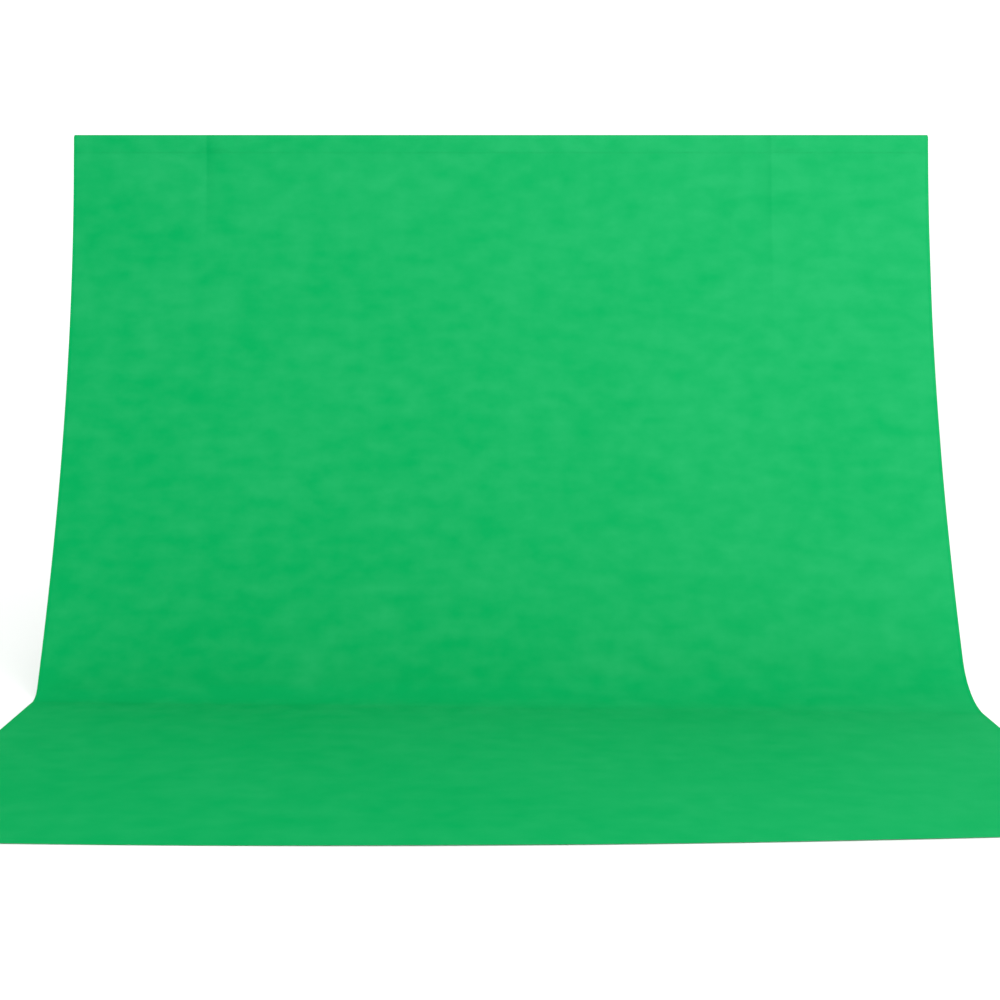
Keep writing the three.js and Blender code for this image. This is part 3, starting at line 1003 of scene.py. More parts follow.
@dataclass
class Knob:
    """A lobed hand knob with a flanged hub, a steel screw and a domed cap."""

    radius: float = 12.5 * MM
    lobes: int = 5
    depth: float = 0.14
    hub: float = 6.5 * MM
    neck: float = 2.0 * MM
    thick: float = 14.0 * MM
    screw: float = 3.0 * MM
    pitch: float = 1.0 * MM
    roll: float = 3.0 * MM
    dish: float = 1.2 * MM
    cap_radius: float = 4.6 * MM
    tip_radius: float = 1.9 * MM
    groove: float = 0.3 * MM
    sunk: float = 0.5 * MM

    def head(self, seat: float) -> Shell:
        """The moulded head: a hub, a lobed grip with rolled edges, and a dished top.

        Args:
            seat: Distance along the screw at which the hub starts.

        Returns:
            The head, along Z.
        """
        face, top = seat + self.neck, seat + self.neck + self.thick
        edge = self.radius
        corners = [
            (0, seat), (self.hub, seat), (self.hub, face), (edge * 0.90, face),
            (edge, face + self.roll), (edge, top - self.roll), (edge * 0.86, top),
            (edge * 0.46, top), (edge * 0.40, top - self.dish), (0, top - self.dish),
        ]
        profile = softened(corners, 1.8 * MM, closed=False, steps=5)
        grip = np.clip((profile[:, 0] - self.hub) / (edge - self.hub), 0, 1)
        return revolve(profile, 80, False, self.lobes, self.depth * grip)

    def cap(self, seat: float) -> Shell:
        """The pressed-in cap in the middle of the head."""
        top = seat + self.neck + self.thick - self.dish
        low, rim, crown = top - 1 * MM, top + 0.5 * MM, top + 0.9 * MM
        corners = [(0, low), (self.cap_radius, low), (self.cap_radius, rim), (0, crown)]
        return revolve(softened(corners, 0.5 * MM, closed=False), 40, False)

    def shank(self, tip: float, seat: float) -> Shell:
        """The screw, with a ridge for each turn of its thread.

        Args:
            tip: Distance along the screw at which it ends.
            seat: Distance at which the hub starts.

        Returns:
            The screw, along Z.
        """
        start, end = tip + 1.5 * MM, seat + self.sunk
        turns = max(2, round((end - start) / self.pitch))
        quarter = np.arange(4 * turns + 1)
        ridge = self.screw - self.groove * (1 - np.cos(TAU * quarter / 4)) / 2
        thread = np.stack([ridge, np.linspace(start, end, len(quarter))], 1)
        foot = [(0, tip), (self.tip_radius, tip)]
        return revolve(np.concatenate([foot, thread, [(0, end)]]), 24, False)

    def build(self, shop: Shop, node: str, tip: float, seat: float) -> None:
        """Makes the knob, its cap and its screw.

        Args:
            shop: Where pieces are made.
            node: The knob's node, which is also its body.
            tip: Distance of the screw's tip from the tube's axis.
            seat: Distance of the hub's face from the tube's axis.
        """
        matrix = screw_line(node)
        shop.piece(node, self.head(seat).placed(matrix), Slot.KNOB, node, [node])
        shop.piece(f"{node}_cap", self.cap(seat).placed(matrix), Slot.CAST, node)
        shop.piece(f"{node}_screw", self.shank(tip, seat).placed(matrix), Slot.STEEL, node)


# ------------------------------------------------------------------------------ columns


@dataclass
class StandPart:
    """What a stand's column and its base share: names, an axis and a kind of knob."""

    shop: Shop
    side: Side
    knob: Knob = field(default_factory=Knob)

    def node(self, name: str) -> str:
        """The full name of one of this stand's nodes."""
        return f"{self.side.value}_{name}"

    def centre(self) -> np.ndarray:
        """The foot of the column's axis."""
        middle = Extent.of(self.node("lower_tube")).middle
        return np.array([middle[0], middle[1], 0.0])


@dataclass
class Column(StandPart):
    """The telescopic tubes of one stand, their clamps, the spigot and the cradle."""

    wall: float = 1.2 * MM
    rim: float = 0.45 * MM
    clamp_boss: float = 27.0 * MM
    clamp_ribs: int = 30
    rib_depth: float = 0.022
    bush: tuple[float, float] = (3.1 * MM, 4.6 * MM)
    neck_depth: float = 1.4 * MM
    chamfer: float = 1.5 * MM
    saddle_boss: float = 25.0 * MM
    saddle_wall: float = 2.8 * MM
    saddle_lip: float = 2.0 * MM
    socket: tuple[float, float] = (8.3 * MM, 12.0 * MM)
    saddle_tip: float = 14.5 * MM

    def tube_radius(self, name: str) -> float:
        """Outer radius of one of the column's tubes."""
        return Extent.of(self.node(name)).half[0]

    def tube(self, name: str, body: str) -> None:
        """One tube with rolled rims.

        Args:
            name: The tube's node, without the side.
            body: Its body.
        """
        box = Extent.of(self.node(name))
        outer = self.tube_radius(name)
        inner, low, high = outer - self.wall, box.low[2], box.high[2]
        corners = [(outer, low), (outer, high), (inner, high), (inner, low)]
        shell = revolve(softened(corners, self.rim, steps=3), 64)
        matrix = upright(self.centre())
        self.shop.piece(self.node(name), shell.placed(matrix), Slot.TUBE, body, [self.node(name)])

    def clamp(self, name: str, inner_tube: str, outer_tube: str, body: str) -> None:
        """A clamp collar: a ribbed sleeve, a shoulder and a boss with a steel bush.

        Args:
            name: The clamp's node, without the side.
            inner_tube: The tube that slides in it.
            outer_tube: The tube that it is fixed on.
            body: Its body.
        """
        node = self.node(name)
        knob = node.replace("clamp", "knob")
        outer, seat = Extent.of(node).half[0], self.clamp_boss
        sleeve = self.sleeve(node, self.node(inner_tube), self.node(outer_tube))
        flank = [
            (9 * MM, outer - 3 * MM), (9 * MM, seat - 4 * MM), (7.6 * MM, seat - 3 * MM),
            (7.6 * MM, seat),
        ]
        boss = screw_boss(outer - 3 * MM, seat, flank, 0.8 * MM).placed(screw_line(knob))
        self.shop.piece(node, [sleeve, boss], Slot.CAST, body, [node])
        low, high = seat - 5 * MM, seat + 0.1 * MM
        corners = [(self.bush[0], low), (self.bush[1], low), (self.bush[1], high), (self.bush[0], high)]
        bush = revolve(softened(corners, 0.2 * MM, steps=2), 32).placed(screw_line(knob))
        self.shop.piece(f"{node}_bush", bush, Slot.STEEL, body)
        tip = self.tube_radius(inner_tube) + 0.5 * MM
        self.knob.build(self.shop, knob, tip, seat + CLEAR)

    def sleeve(self, clamp: str, inner_tube: str, outer_tube: str) -> Shell:
        """A clamp's sleeve, with a ribbed band for the hand and a step over the outer tube.

        Args:
            clamp: The clamp's node.
            inner_tube: The node of the tube that slides in it.
            outer_tube: The node of the tube that it is fixed on.

        Returns:
            The sleeve, on the column's axis.
        """
        box, below = Extent.of(clamp), Extent.of(outer_tube)
        low, high, outer = box.low[2], box.high[2], box.half[0]
        wide, slim = below.half[0] + CLEAR, Extent.of(inner_tube).half[0] + CLEAR
        step = below.high[2] + CLEAR
        band_low, band_high = 6 * MM, 17 * MM
        corners = [
            (wide, low), (outer - 2.2 * MM, low), (outer - 2.2 * MM, low + 4 * MM),
            (outer, low + band_low), (outer, low + band_high), (outer - 1.6 * MM, low + 19 * MM),
            (outer - 1.6 * MM, low + 22 * MM), (outer, low + 24 * MM), (outer, high - 4 * MM),
            (outer - 3 * MM, high), (slim, high), (slim, step), (wide, step),
        ]
        profile = softened(corners, 1.1 * MM, steps=4)
        height = profile[:, 1] - low
        band = (profile[:, 0] > outer - 0.4 * MM) & (height > band_low) & (height < band_high)
        depth = np.where(band, self.rib_depth, 0.0)
        return revolve(profile, 120, True, self.clamp_ribs, depth).placed(upright(self.centre()))

    def spigot(self) -> None:
        """The steel stud on the top tube, with its grooved neck and chamfered end."""
        node = self.node("spigot")
        box = Extent.of(node)
        radius, low, high = box.half[0], box.low[2], box.high[2]
        slim, neck = radius - self.neck_depth, high - 15 * MM
        corners = [
            (0, low), (radius, low), (radius, neck - 4 * MM), (slim, neck - 2 * MM),
            (slim, neck + 2 * MM), (radius, neck + 4 * MM), (radius, high - self.chamfer),
            (radius - self.chamfer, high), (0, high),
        ]
        shell = revolve(softened(corners, 0.4 * MM, closed=False, steps=3), 48, False)
        matrix = upright(self.centre())
        self.shop.piece(node, shell.placed(matrix), Slot.STEEL, "crossbar", [node])

    def cradle(self) -> None:
        """The open saddle under the crossbar: a trough, a stem, a boss and a web."""
        node, knob = self.node("cradle"), self.node("cradle_knob")
        box, screw, seat = Extent.of(node), screw_line(knob), self.saddle_boss
        centre = screw[:3, 3]
        outer = centre[1] - box.low[1]
        inner = outer - self.saddle_wall
        trough = plate(self.trough_outline(inner, outer), box.half[0], 0.9 * MM)
        bore, sleeve = self.socket
        low, high = box.low[2], centre[2] - inner - 1 * MM
        slim = sleeve - 0.8 * MM
        corners = [
            (bore, low), (slim, low), (slim, low + 5 * MM), (sleeve, low + 7 * MM),
            (sleeve, high - 8 * MM), (sleeve + 3.0 * MM, high), (bore, high),
        ]
        stem = revolve(softened(corners, 0.9 * MM), 56).placed(upright(self.centre()))
        flank = [(7.5 * MM, outer - 1 * MM), (7.5 * MM, seat)]
        boss = screw_boss(outer - 1 * MM, seat, flank, 0.9 * MM).placed(screw)
        corners = [
            (outer - 2 * MM, -2 * MM), (seat - 2 * MM, -6 * MM), (sleeve - 2 * MM, -30 * MM),
            (sleeve - 4 * MM, -12 * MM),
        ]
        web = plate(softened(corners, 1.5 * MM), 2 * MM, 0.6 * MM).placed(side_on(centre, AXIS_Y))
        shells = [trough.placed(lengthwise(centre)), stem, boss, web]
        self.shop.piece(node, shells, Slot.CAST, "crossbar", [node])
        self.knob.build(self.shop, knob, self.saddle_tip, seat + CLEAR)

    def trough_outline(self, inner: float, outer: float) -> np.ndarray:
        """The saddle's section: a half ring under the bar, with short upright lips.

        Args:
            inner: Its inner radius.
            outer: Its outer radius.

        Returns:
            The outline, in the distance behind the bar's axis and the height over it.
        """
        a = np.linspace(math.pi, TAU, 33)
        under = outer * np.stack([np.cos(a), np.sin(a)], 1)
        over = inner * np.stack([np.cos(a[::-1]), np.sin(a[::-1])], 1)
        lip = self.saddle_lip
        ends = np.array([(outer, lip), (inner, lip)]), np.array([(-inner, lip), (-outer, lip)])
        return np.concatenate([under, ends[0], over, ends[1]])

    def build(self) -> None:
        """Makes the whole column."""
        side = self.side.value
        self.tube("lower_tube", f"{side}_base")
        self.tube("mid_tube", f"{side}_mid")
        self.tube("upper_tube", "crossbar")
        self.clamp("lower_clamp", "mid_tube", "lower_tube", f"{side}_base")
        self.clamp("mid_clamp", "upper_tube", "mid_tube", f"{side}_mid")
        self.spigot()
        self.cradle()


# ------------------------------------------------------------------------------ tripods


@dataclass
class Tripod(StandPart):
    """One stand's spread base: two collars, and three legs with feet and braces."""

    column_radius: float = 12.5 * MM
    collar_radius: float = 19.5 * MM
    base_radius: float = 19.0 * MM
    base_floor: float = 4.7 * MM
    collar_boss: float = 28.0 * MM
    collar_tip: float = 13.0 * MM
    ear: tuple[float, float] = (5.9 * MM, 9.4 * MM)
    ear_radius: float = 7.0 * MM
    lug_half: float = 7.2 * MM
    lug_radius: float = 6.0 * MM
    leg_width: float = 11.0 * MM
    leg_depth: float = 10.0 * MM
    leg_eye: float = 6.0 * MM
    leg_hidden: float = 20.0 * MM
    spread: float = math.radians(45.0)
    strap: tuple[float, float] = (7.5 * MM, 10.0 * MM)
    strap_half: float = 6.0 * MM
    foot_width: float = 14.0 * MM
    foot_half: float = 8.0 * MM
    foot_sleeve: float = 48.0 * MM
    rivet_shank: float = 2.2 * MM
    rivet_rise: float = 1.4 * MM
    pin_radius: float = 3.8 * MM
    bead_half: float = 1.6 * MM
    bead_end: float = 18.0 * MM

    def pivot(self, name: str) -> tuple[np.ndarray, np.ndarray]:
        """Where a leg or brace hinges.

        Args:
            name: The leg's or brace's node, without the side.

        Returns:
            The pivot, and the level direction that points away from the column.
        """
        joint = joint_named(self.node(name) + "_hinge")
        place = np.array(joint["pos_m"], float)
        away = place - self.centre()
        away[2] = 0
        return place, away / np.linalg.norm(away)

    def swing(self, name: str) -> float:
        """How far a leg or brace turns, in radians, while the collar rises all the way."""
        rows = frame["record"]["behaviour"]["couplings"]
        ratio = next(row["ratio"] for row in rows if row["joint"] == self.node(name) + "_hinge")
        low, high = joint_named(self.node("fold"))["range_m"]
        return abs(ratio) * (high - low)

    def dome(self, reach: float, radius: float) -> list[tuple[float, float]]:
        """The outline of a rivet's domed head, from its rim to its crown.

        Args:
            reach: Height of the head's inner face.
            radius: Its radius.

        Returns:
            Its corners, as (radius, height).
        """
        rise = self.rivet_rise
        waist, brow = (radius * 0.92, reach + rise * 0.5), (radius * 0.6, reach + rise)
        return [(radius, reach), waist, brow, (0, reach + rise * 1.1)]

    def rivet(self, reach: float, radius: float = 4.0 * MM) -> Shell:
        """A rivet through a joint: a shank and two domed heads.

        Args:
            reach: Half the distance between the heads' inner faces.
            radius: Radius of the heads.

        Returns:
            The rivet, along Z.
        """
        upper, shank = self.dome(reach, radius), self.rivet_shank
        lower = [(r, -h) for r, h in upper[::-1]]
        corners = [*lower, (shank, -reach), (shank, reach), *upper]
        return revolve(softened(corners, 0.5 * MM, closed=False, steps=3), 32, False)

    def rivet_heads(self, reach: float, radius: float) -> list[Shell]:
        """The two heads of a rivet whose shank is another piece's.

        Args:
            reach: Half the distance between the heads' inner faces.
            radius: Radius of the heads.

        Returns:
            Two closed domes, along Z.
        """
        root, shank = reach - 1 * MM, self.rivet_shank
        corners = [(0, root), (shank, root), (shank, reach), *self.dome(reach, radius)]
        head = revolve(softened(corners, 0.4 * MM, closed=False, steps=3), 32, False)
        return [head, head.placed(np.diag([1.0, -1.0, -1.0, 1.0]))]

    def tongue(self, start: float, reach: float, radius: float) -> np.ndarray:
        """An outline that runs out to a round end about a pivot.

        Args:
            start: Where it starts, from the column's axis.
            reach: Where its pivot is.
            radius: Radius of its end, and half its height.

        Returns:
            The outline, in the distance from the axis and the height over the pivot.
        """
        a = np.linspace(-math.pi / 2, math.pi / 2, 17)
        end = np.stack([reach + radius * np.cos(a), radius * np.sin(a)], 1)
        neck, flare = start + 3 * MM, radius + 2 * MM
        foot = np.array([(neck, radius), (start, flare), (start, -flare), (neck, -radius)])
        return np.concatenate([end, foot])

    def ring(self, low: float, high: float, outer: float, floor: float | None = None) -> Shell:
        """A collar's ring with a waist between two rolled flanges.

        Args:
            low: Height of its lower face.
            high: Height of its upper face.
            outer: Its radius.
            floor: Thickness of its floor, where it is closed below.

        Returns:
            The ring, on the column's axis.
        """
        inner, waist, rim = self.column_radius + CLEAR, outer - 1.0 * MM, outer - 1.2 * MM
        wall = [
            (rim, low), (outer, low + 1.5 * MM), (outer, low + 5 * MM), (waist, low + 6.5 * MM),
            (waist, high - 6.5 * MM), (outer, high - 5 * MM), (outer, high - 1.5 * MM),
            (rim, high), (inner, high),
        ]
        if floor is None:
            profile = softened([*wall, (inner, low)], 0.8 * MM)
        else:
            corners = [(0, low), *wall, (inner, low + floor), (0, low + floor)]
            profile = softened(corners, 0.8 * MM, closed=False)
        shell = revolve(profile, 72, floor is None)
        return shell.placed(upright(self.centre()))

    def arm(self, name: str, radius: float, half: float, collar: float, soft: float) -> Shell:
        """A flat arm that runs out from a collar to a hinge, lying across Z.

        Args:
            name: The node that hinges on it, without the side.
            radius: Radius of its end.
            half: Half its thickness.
            collar: The collar's radius.
            soft: Radius of its edges.

        Returns:
            The arm, with its root in the collar's wall.
        """
        pivot, _ = self.pivot(name)
        reach = np.linalg.norm((pivot - self.centre())[:2])
        return plate(self.tongue(collar - 3 * MM, reach, radius), half, soft)

    def leg_collar(self) -> None:
        """The sliding collar, with a pair of ears for each leg and the lock's boss."""
        node, knob = self.node("leg_collar"), self.node("collar_knob")
        box, outer, seat = Extent.of(node), self.collar_radius, self.collar_boss
        shells = [self.ring(box.low[2], box.high[2], outer)]
        ear_half = (self.ear[1] - self.ear[0]) / 2
        for way in Way:
            name = f"leg_{way.value}"
            pivot, away = self.pivot(name)
            ear = self.arm(name, self.ear_radius, ear_half, outer, 0.7 * MM)
            for sign in (-1, 1):
                shift = np.cross(AXIS_Z, away) * sign * (self.ear[0] + ear_half)
                origin = self.centre() + shift + AXIS_Z * pivot[2]
                shells.append(ear.placed(side_on(origin, away)))
        flank = [(8 * MM, outer - 3 * MM), (8 * MM, seat - 3 * MM), (6.8 * MM, seat)]
        shells.append(screw_boss(outer - 3 * MM, seat, flank, 0.9 * MM).placed(screw_line(knob)))
        self.shop.piece(node, shells, Slot.CAST, self.node("collar"), [node])
        self.knob.build(self.shop, knob, self.collar_tip, seat + CLEAR)

    def base_collar(self) -> None:
        """The fixed collar at the column's foot, with a lug for each brace."""
        node = self.node("base_collar")
        box, outer = Extent.of(node), self.base_radius
        shells = [self.ring(box.low[2], box.high[2], outer, self.base_floor)]
        for way in Way:
            name = f"brace_{way.value}"
            pivot, away = self.pivot(name)
            lug = self.arm(name, self.lug_radius, self.lug_half, outer, 0.8 * MM)
            shells.append(lug.placed(side_on(self.centre() + AXIS_Z * pivot[2], away)))
        self.shop.piece(node, shells, Slot.CAST, self.node("base"), [node])

    def leg(self, way: Way) -> None:
        """One leg: a rounded bar with an eye, hung from its rivet, and its rubber boot.

        Args:
            way: The way that the leg points.
        """
        name = f"leg_{way.value}"
        pivot, away = self.pivot(name)
        length = float(pivot[2]) / math.cos(self.spread)
        end = length - self.leg_hidden
        a = np.linspace(-0.2 * math.pi, 1.2 * math.pi, 21)
        eye = self.leg_eye * np.stack([np.cos(a), np.sin(a)], 1)
        half, shoulder = self.leg_depth / 2, -8 * MM
        shaft = [(-half, shoulder), (-half, -end), (half, -end), (half, shoulder)]
        bar = plate(np.concatenate([eye, shaft]), self.leg_width / 2, 2.2 * MM, 5)
        matrix = tilted(side_on(pivot, away), self.spread)
        body = self.node(name)
        self.shop.piece(body, bar.placed(matrix), Slot.TUBE, body, [body])
        rivet = self.rivet(self.ear[1]).placed(side_on(pivot, away))
        self.shop.piece(f"{body}_rivet", rivet, Slot.STEEL, body)
        self.foot(way, pivot, away, length)

    def foot(self, way: Way, pivot: np.ndarray, away: np.ndarray, length: float) -> None:
        """One boot: a tapered sleeve with grip grooves, cut level where it stands.

        Its sides are drawn along the leg, and its sole is level.

        Args:
            way: The way that the leg points.
            pivot: The leg's pivot.
            away: The level direction in which the leg points.
            length: Length of the leg's axis down to the floor.
        """
        half, notch, shoulder = self.foot_half, 0.9 * MM, 1.5 * MM
        along = np.array([math.sin(self.spread), -math.cos(self.spread)])
        proud = np.array([math.cos(self.spread), math.sin(self.spread)])
        top = length - self.foot_sleeve
        grooves = top + 8 * MM + 6 * MM * np.arange(4)
        stops = (grooves[:, None] + np.array([-1.2, -0.6, 0.6, 1.2]) * MM).ravel()
        stops = np.concatenate([[top, top + shoulder], stops])
        inset = np.concatenate([[shoulder, 0], np.tile([0, notch, notch, 0], len(grooves))])
        front = along * stops[:, None] + proud * (half - inset)[:, None]
        back = along * stops[:, None] - proud * (half - inset)[:, None]
        toe = along * (length + half) + proud * half
        heel = along * (length - half) - proud * half
        rise, sole = np.array([-0.2, 1.2]) * MM, -float(pivot[2])
        corners = [toe + rise, (toe[0] - 1 * MM, sole), (heel[0] + 1 * MM, sole), heel + rise]
        outline = np.concatenate([front, corners, back[::-1]])
        boot = plate(outline, self.foot_width / 2, 1.4 * MM, 4).placed(side_on(pivot, away))
        node = self.node(f"foot_{way.value}")
        self.shop.piece(node, boot, Slot.RUBBER, self.node(f"leg_{way.value}"), [node])

    def brace(self, way: Way) -> None:
        """One brace: two pressed straps with a stiffening bead, and their rivets.

        Args:
            way: The way that its leg points.
        """
        name = f"brace_{way.value}"
        pivot, away = self.pivot(name)
        angle = self.swing(name)
        rise = Extent.of(self.node(name)).high[2] - pivot[2]
        length = (rise - self.strap_half) / math.cos(angle)
        half = (self.strap[1] - self.strap[0]) / 2
        middle = (self.strap[1] + self.strap[0]) / 2
        strap = plate(link_outline(self.strap_half, length), half, 0.5 * MM)
        bead = plate(link_outline(self.bead_half, length - 2 * self.bead_end), 0.6 * MM, 0.5 * MM)
        tilt = tilted(side_on(pivot, away), -angle)
        raised = tilt @ moved(AXIS_Y * self.bead_end)
        side = np.cross(AXIS_Z, away)
        shells = []
        for sign in (-1, 1):
            shells.append(strap.placed(moved(side * sign * middle) @ tilt))
            shells.append(bead.placed(moved(side * sign * self.strap[1]) @ raised))
        body = self.node(name)
        self.shop.piece(body, shells, Slot.STEEL, body, [body])
        pin = self.rivet(self.strap[1], self.pin_radius)
        far = tilt @ moved(AXIS_Y * length)
        heads = [head.placed(far) for head in self.rivet_heads(self.strap[1], self.pin_radius)]
        self.shop.piece(f"{body}_rivets", [pin.placed(tilt), *heads], Slot.STEEL, body)

    def build(self) -> None:
        """Makes the whole base."""
        self.leg_collar()
        self.base_collar()
        for way in Way:
            self.leg(way)
            self.brace(way)


# ----------------------------------------------------------------------------- crossbar


@dataclass
class Crossbar:
    """The plug-together bar in the cloth's pocket, with its buttons and caps."""

    shop: Shop
    sections: int = 4
    plug_radius: float = 12.6 * MM
    bore: float = 12.9 * MM
    plug_bore: float = 11.5 * MM
    hole_radius: float = 3.0 * MM
    cap_radius: float = 14.0 * MM
    cap_flange: float = 2.7 * MM
    button_head: float = 4.1 * MM
    button_stem: float = 2.7 * MM

    def axis(self) -> np.ndarray:
        """The middle of the bar's axis."""
        middle = Extent.of("crossbar_section_1").middle
        return np.array([0.0, middle[1], middle[2]])

    def section(self, index: int) -> None:
        """One tube, with a swaged plug unless it is the last.

        Args:
            index: The section's number, from 1.
        """
        node = f"crossbar_section_{index}"
        box = Extent.of(node)
        radius, start, end = box.half[2], box.low[0], box.high[0]
        if index == self.sections:
            corners = [(radius, start), (radius, end), (self.bore, end), (self.bore, start)]
        else:
            step = Extent.of(f"crossbar_section_{index + 1}").low[0] - CLEAR
            plug = self.plug_radius
            corners = [
                (radius, start), (radius, step), (plug, step + 1.2 * MM), (plug, end - 2 * MM),
                (plug - 0.8 * MM, end), (self.plug_bore, end), (self.plug_bore, step - 10 * MM),
                (self.bore, step - 16 * MM), (self.bore, start),
            ]
        shell = revolve(softened(corners, 0.5 * MM, steps=3), 64).placed(lengthwise(self.axis()))
        made = self.shop.piece(node, shell, Slot.BAR, "crossbar", [node])
        for button in range(max(index - 1, 1), min(index + 1, self.sections)):
            self.drilled(made, button)

    def drilled(self, tube: bpy.types.Object, index: int) -> None:
        """Cuts a button's hole through the back of a tube.

        Args:
            tube: The tube's piece.
            index: The button's number, from 1.
        """
        axis = self.axis()
        place = np.array([Extent.of(f"spring_button_{index}").middle[0], axis[1], axis[2]])
        start, end = self.plug_bore - 1 * MM, self.plug_bore + 5 * MM
        corners = [(0, start), (self.hole_radius, start), (self.hole_radius, end), (0, end)]
        drill = revolve(np.array(corners), 32, False).placed(outwards(place, AXIS_Y))
        cutter = bpy.data.objects.new("drill", self.shop.mesh("drill", drill, SHARP))
        bpy.context.collection.objects.link(cutter)
        hole = tube.modifiers.new("hole", "BOOLEAN")
        hole.operation, hole.solver, hole.object = "DIFFERENCE", "EXACT", cutter
        self.shop.applied(tube, SHARP)
        bpy.data.meshes.remove(cutter.data)

    def button(self, index: int) -> None:
        """One sprung button with its domed end.

        Args:
            index: The button's number, from 1.
        """
        node = f"spring_button_{index}"
        box = Extent.of(node)
        axis = self.axis()
        low, high = box.low[1] - axis[1], box.high[1] - axis[1]
        head, stem = self.button_head, self.button_stem
        corners = [
            (0, low), (head, low), (head, low + 2.1 * MM), (stem, low + 2.3 * MM),
            (stem, high - 1.8 * MM), (1.6 * MM, high - 0.3 * MM), (0, high),
        ]
        shell = revolve(softened(corners, 0.6 * MM, closed=False), 32, False)
        origin = np.array([box.middle[0], axis[1], axis[2]])
        self.shop.piece(node, shell.placed(outwards(origin, AXIS_Y)), Slot.STEEL, node, [node])

    def cap(self, side: Side) -> None:
        """One end cap with a dished face.

        Args:
            side: The end that it closes.
        """
        node = f"crossbar_cap_{side.value}"
        box = Extent.of(node)
        sign = -1.0 if side is Side.LEFT else 1.0
        tip = max(abs(box.low[0]), abs(box.high[0]))
        root = min(abs(box.low[0]), abs(box.high[0]))
        flange, dish = tip - self.cap_flange, tip - 0.9 * MM
        plug, brim = self.plug_radius, self.cap_radius
        corners = [
            (0, root), (plug - 1.2 * MM, root), (plug, root + 3 * MM), (plug, flange),
            (brim, flange), (brim, tip - 0.8 * MM), (brim - 1.4 * MM, tip), (7 * MM, tip),
            (6 * MM, dish), (0, dish),
        ]
        shell = revolve(softened(corners, 0.7 * MM, closed=False), 64, False)
        matrix = basis(self.axis(), AXIS_Y, AXIS_Z * sign, AXIS_X * sign)
        self.shop.piece(node, shell.placed(matrix), Slot.CAST, "crossbar", [node])

    def build(self) -> None:
        """Makes the whole bar."""
        for index in range(1, self.sections + 1):
            self.section(index)
        for index in range(1, self.sections):
            self.button(index)
        for side in Side:
            self.cap(side)


# -------------------------------------------------------------------------------- cloth


@dataclass(frozen=True)
class Crease:
    """A faint crease that falls from the bar, with painted shade on one side of it and painted light on
    the other.
    """

    place: float
    height: float
    width: float
    length: float
    # Painted shade on the crease's right side and painted light on its left; a negative value swaps the
    # sides.
    tone: float
    slant: float = 0.0


# The pocket's front, from the top edge down to the stitch line.
POCKET_FRONT = 66 * MM
# The marks that the stands' heads press into the cloth, and a broad fold beside one, each with painted
# shade on one side and painted light on the other.
CREASES = (
    Crease(place=-1.034, height=-1.5 * MM, width=0.026, length=0.24, tone=0.22),
    Crease(place=0.950, height=1.5 * MM, width=0.032, length=0.48, tone=-0.15),
    Crease(place=0.862, height=-1.0 * MM, width=0.060, length=0.60, tone=-0.05, slant=-0.15),
)


def nearest(across: np.ndarray, places: np.ndarray) -> np.ndarray:
    """Distance from each place across the cloth to the nearest of some others."""
    return np.abs(across[None] - places[:, None]).min(axis=0)


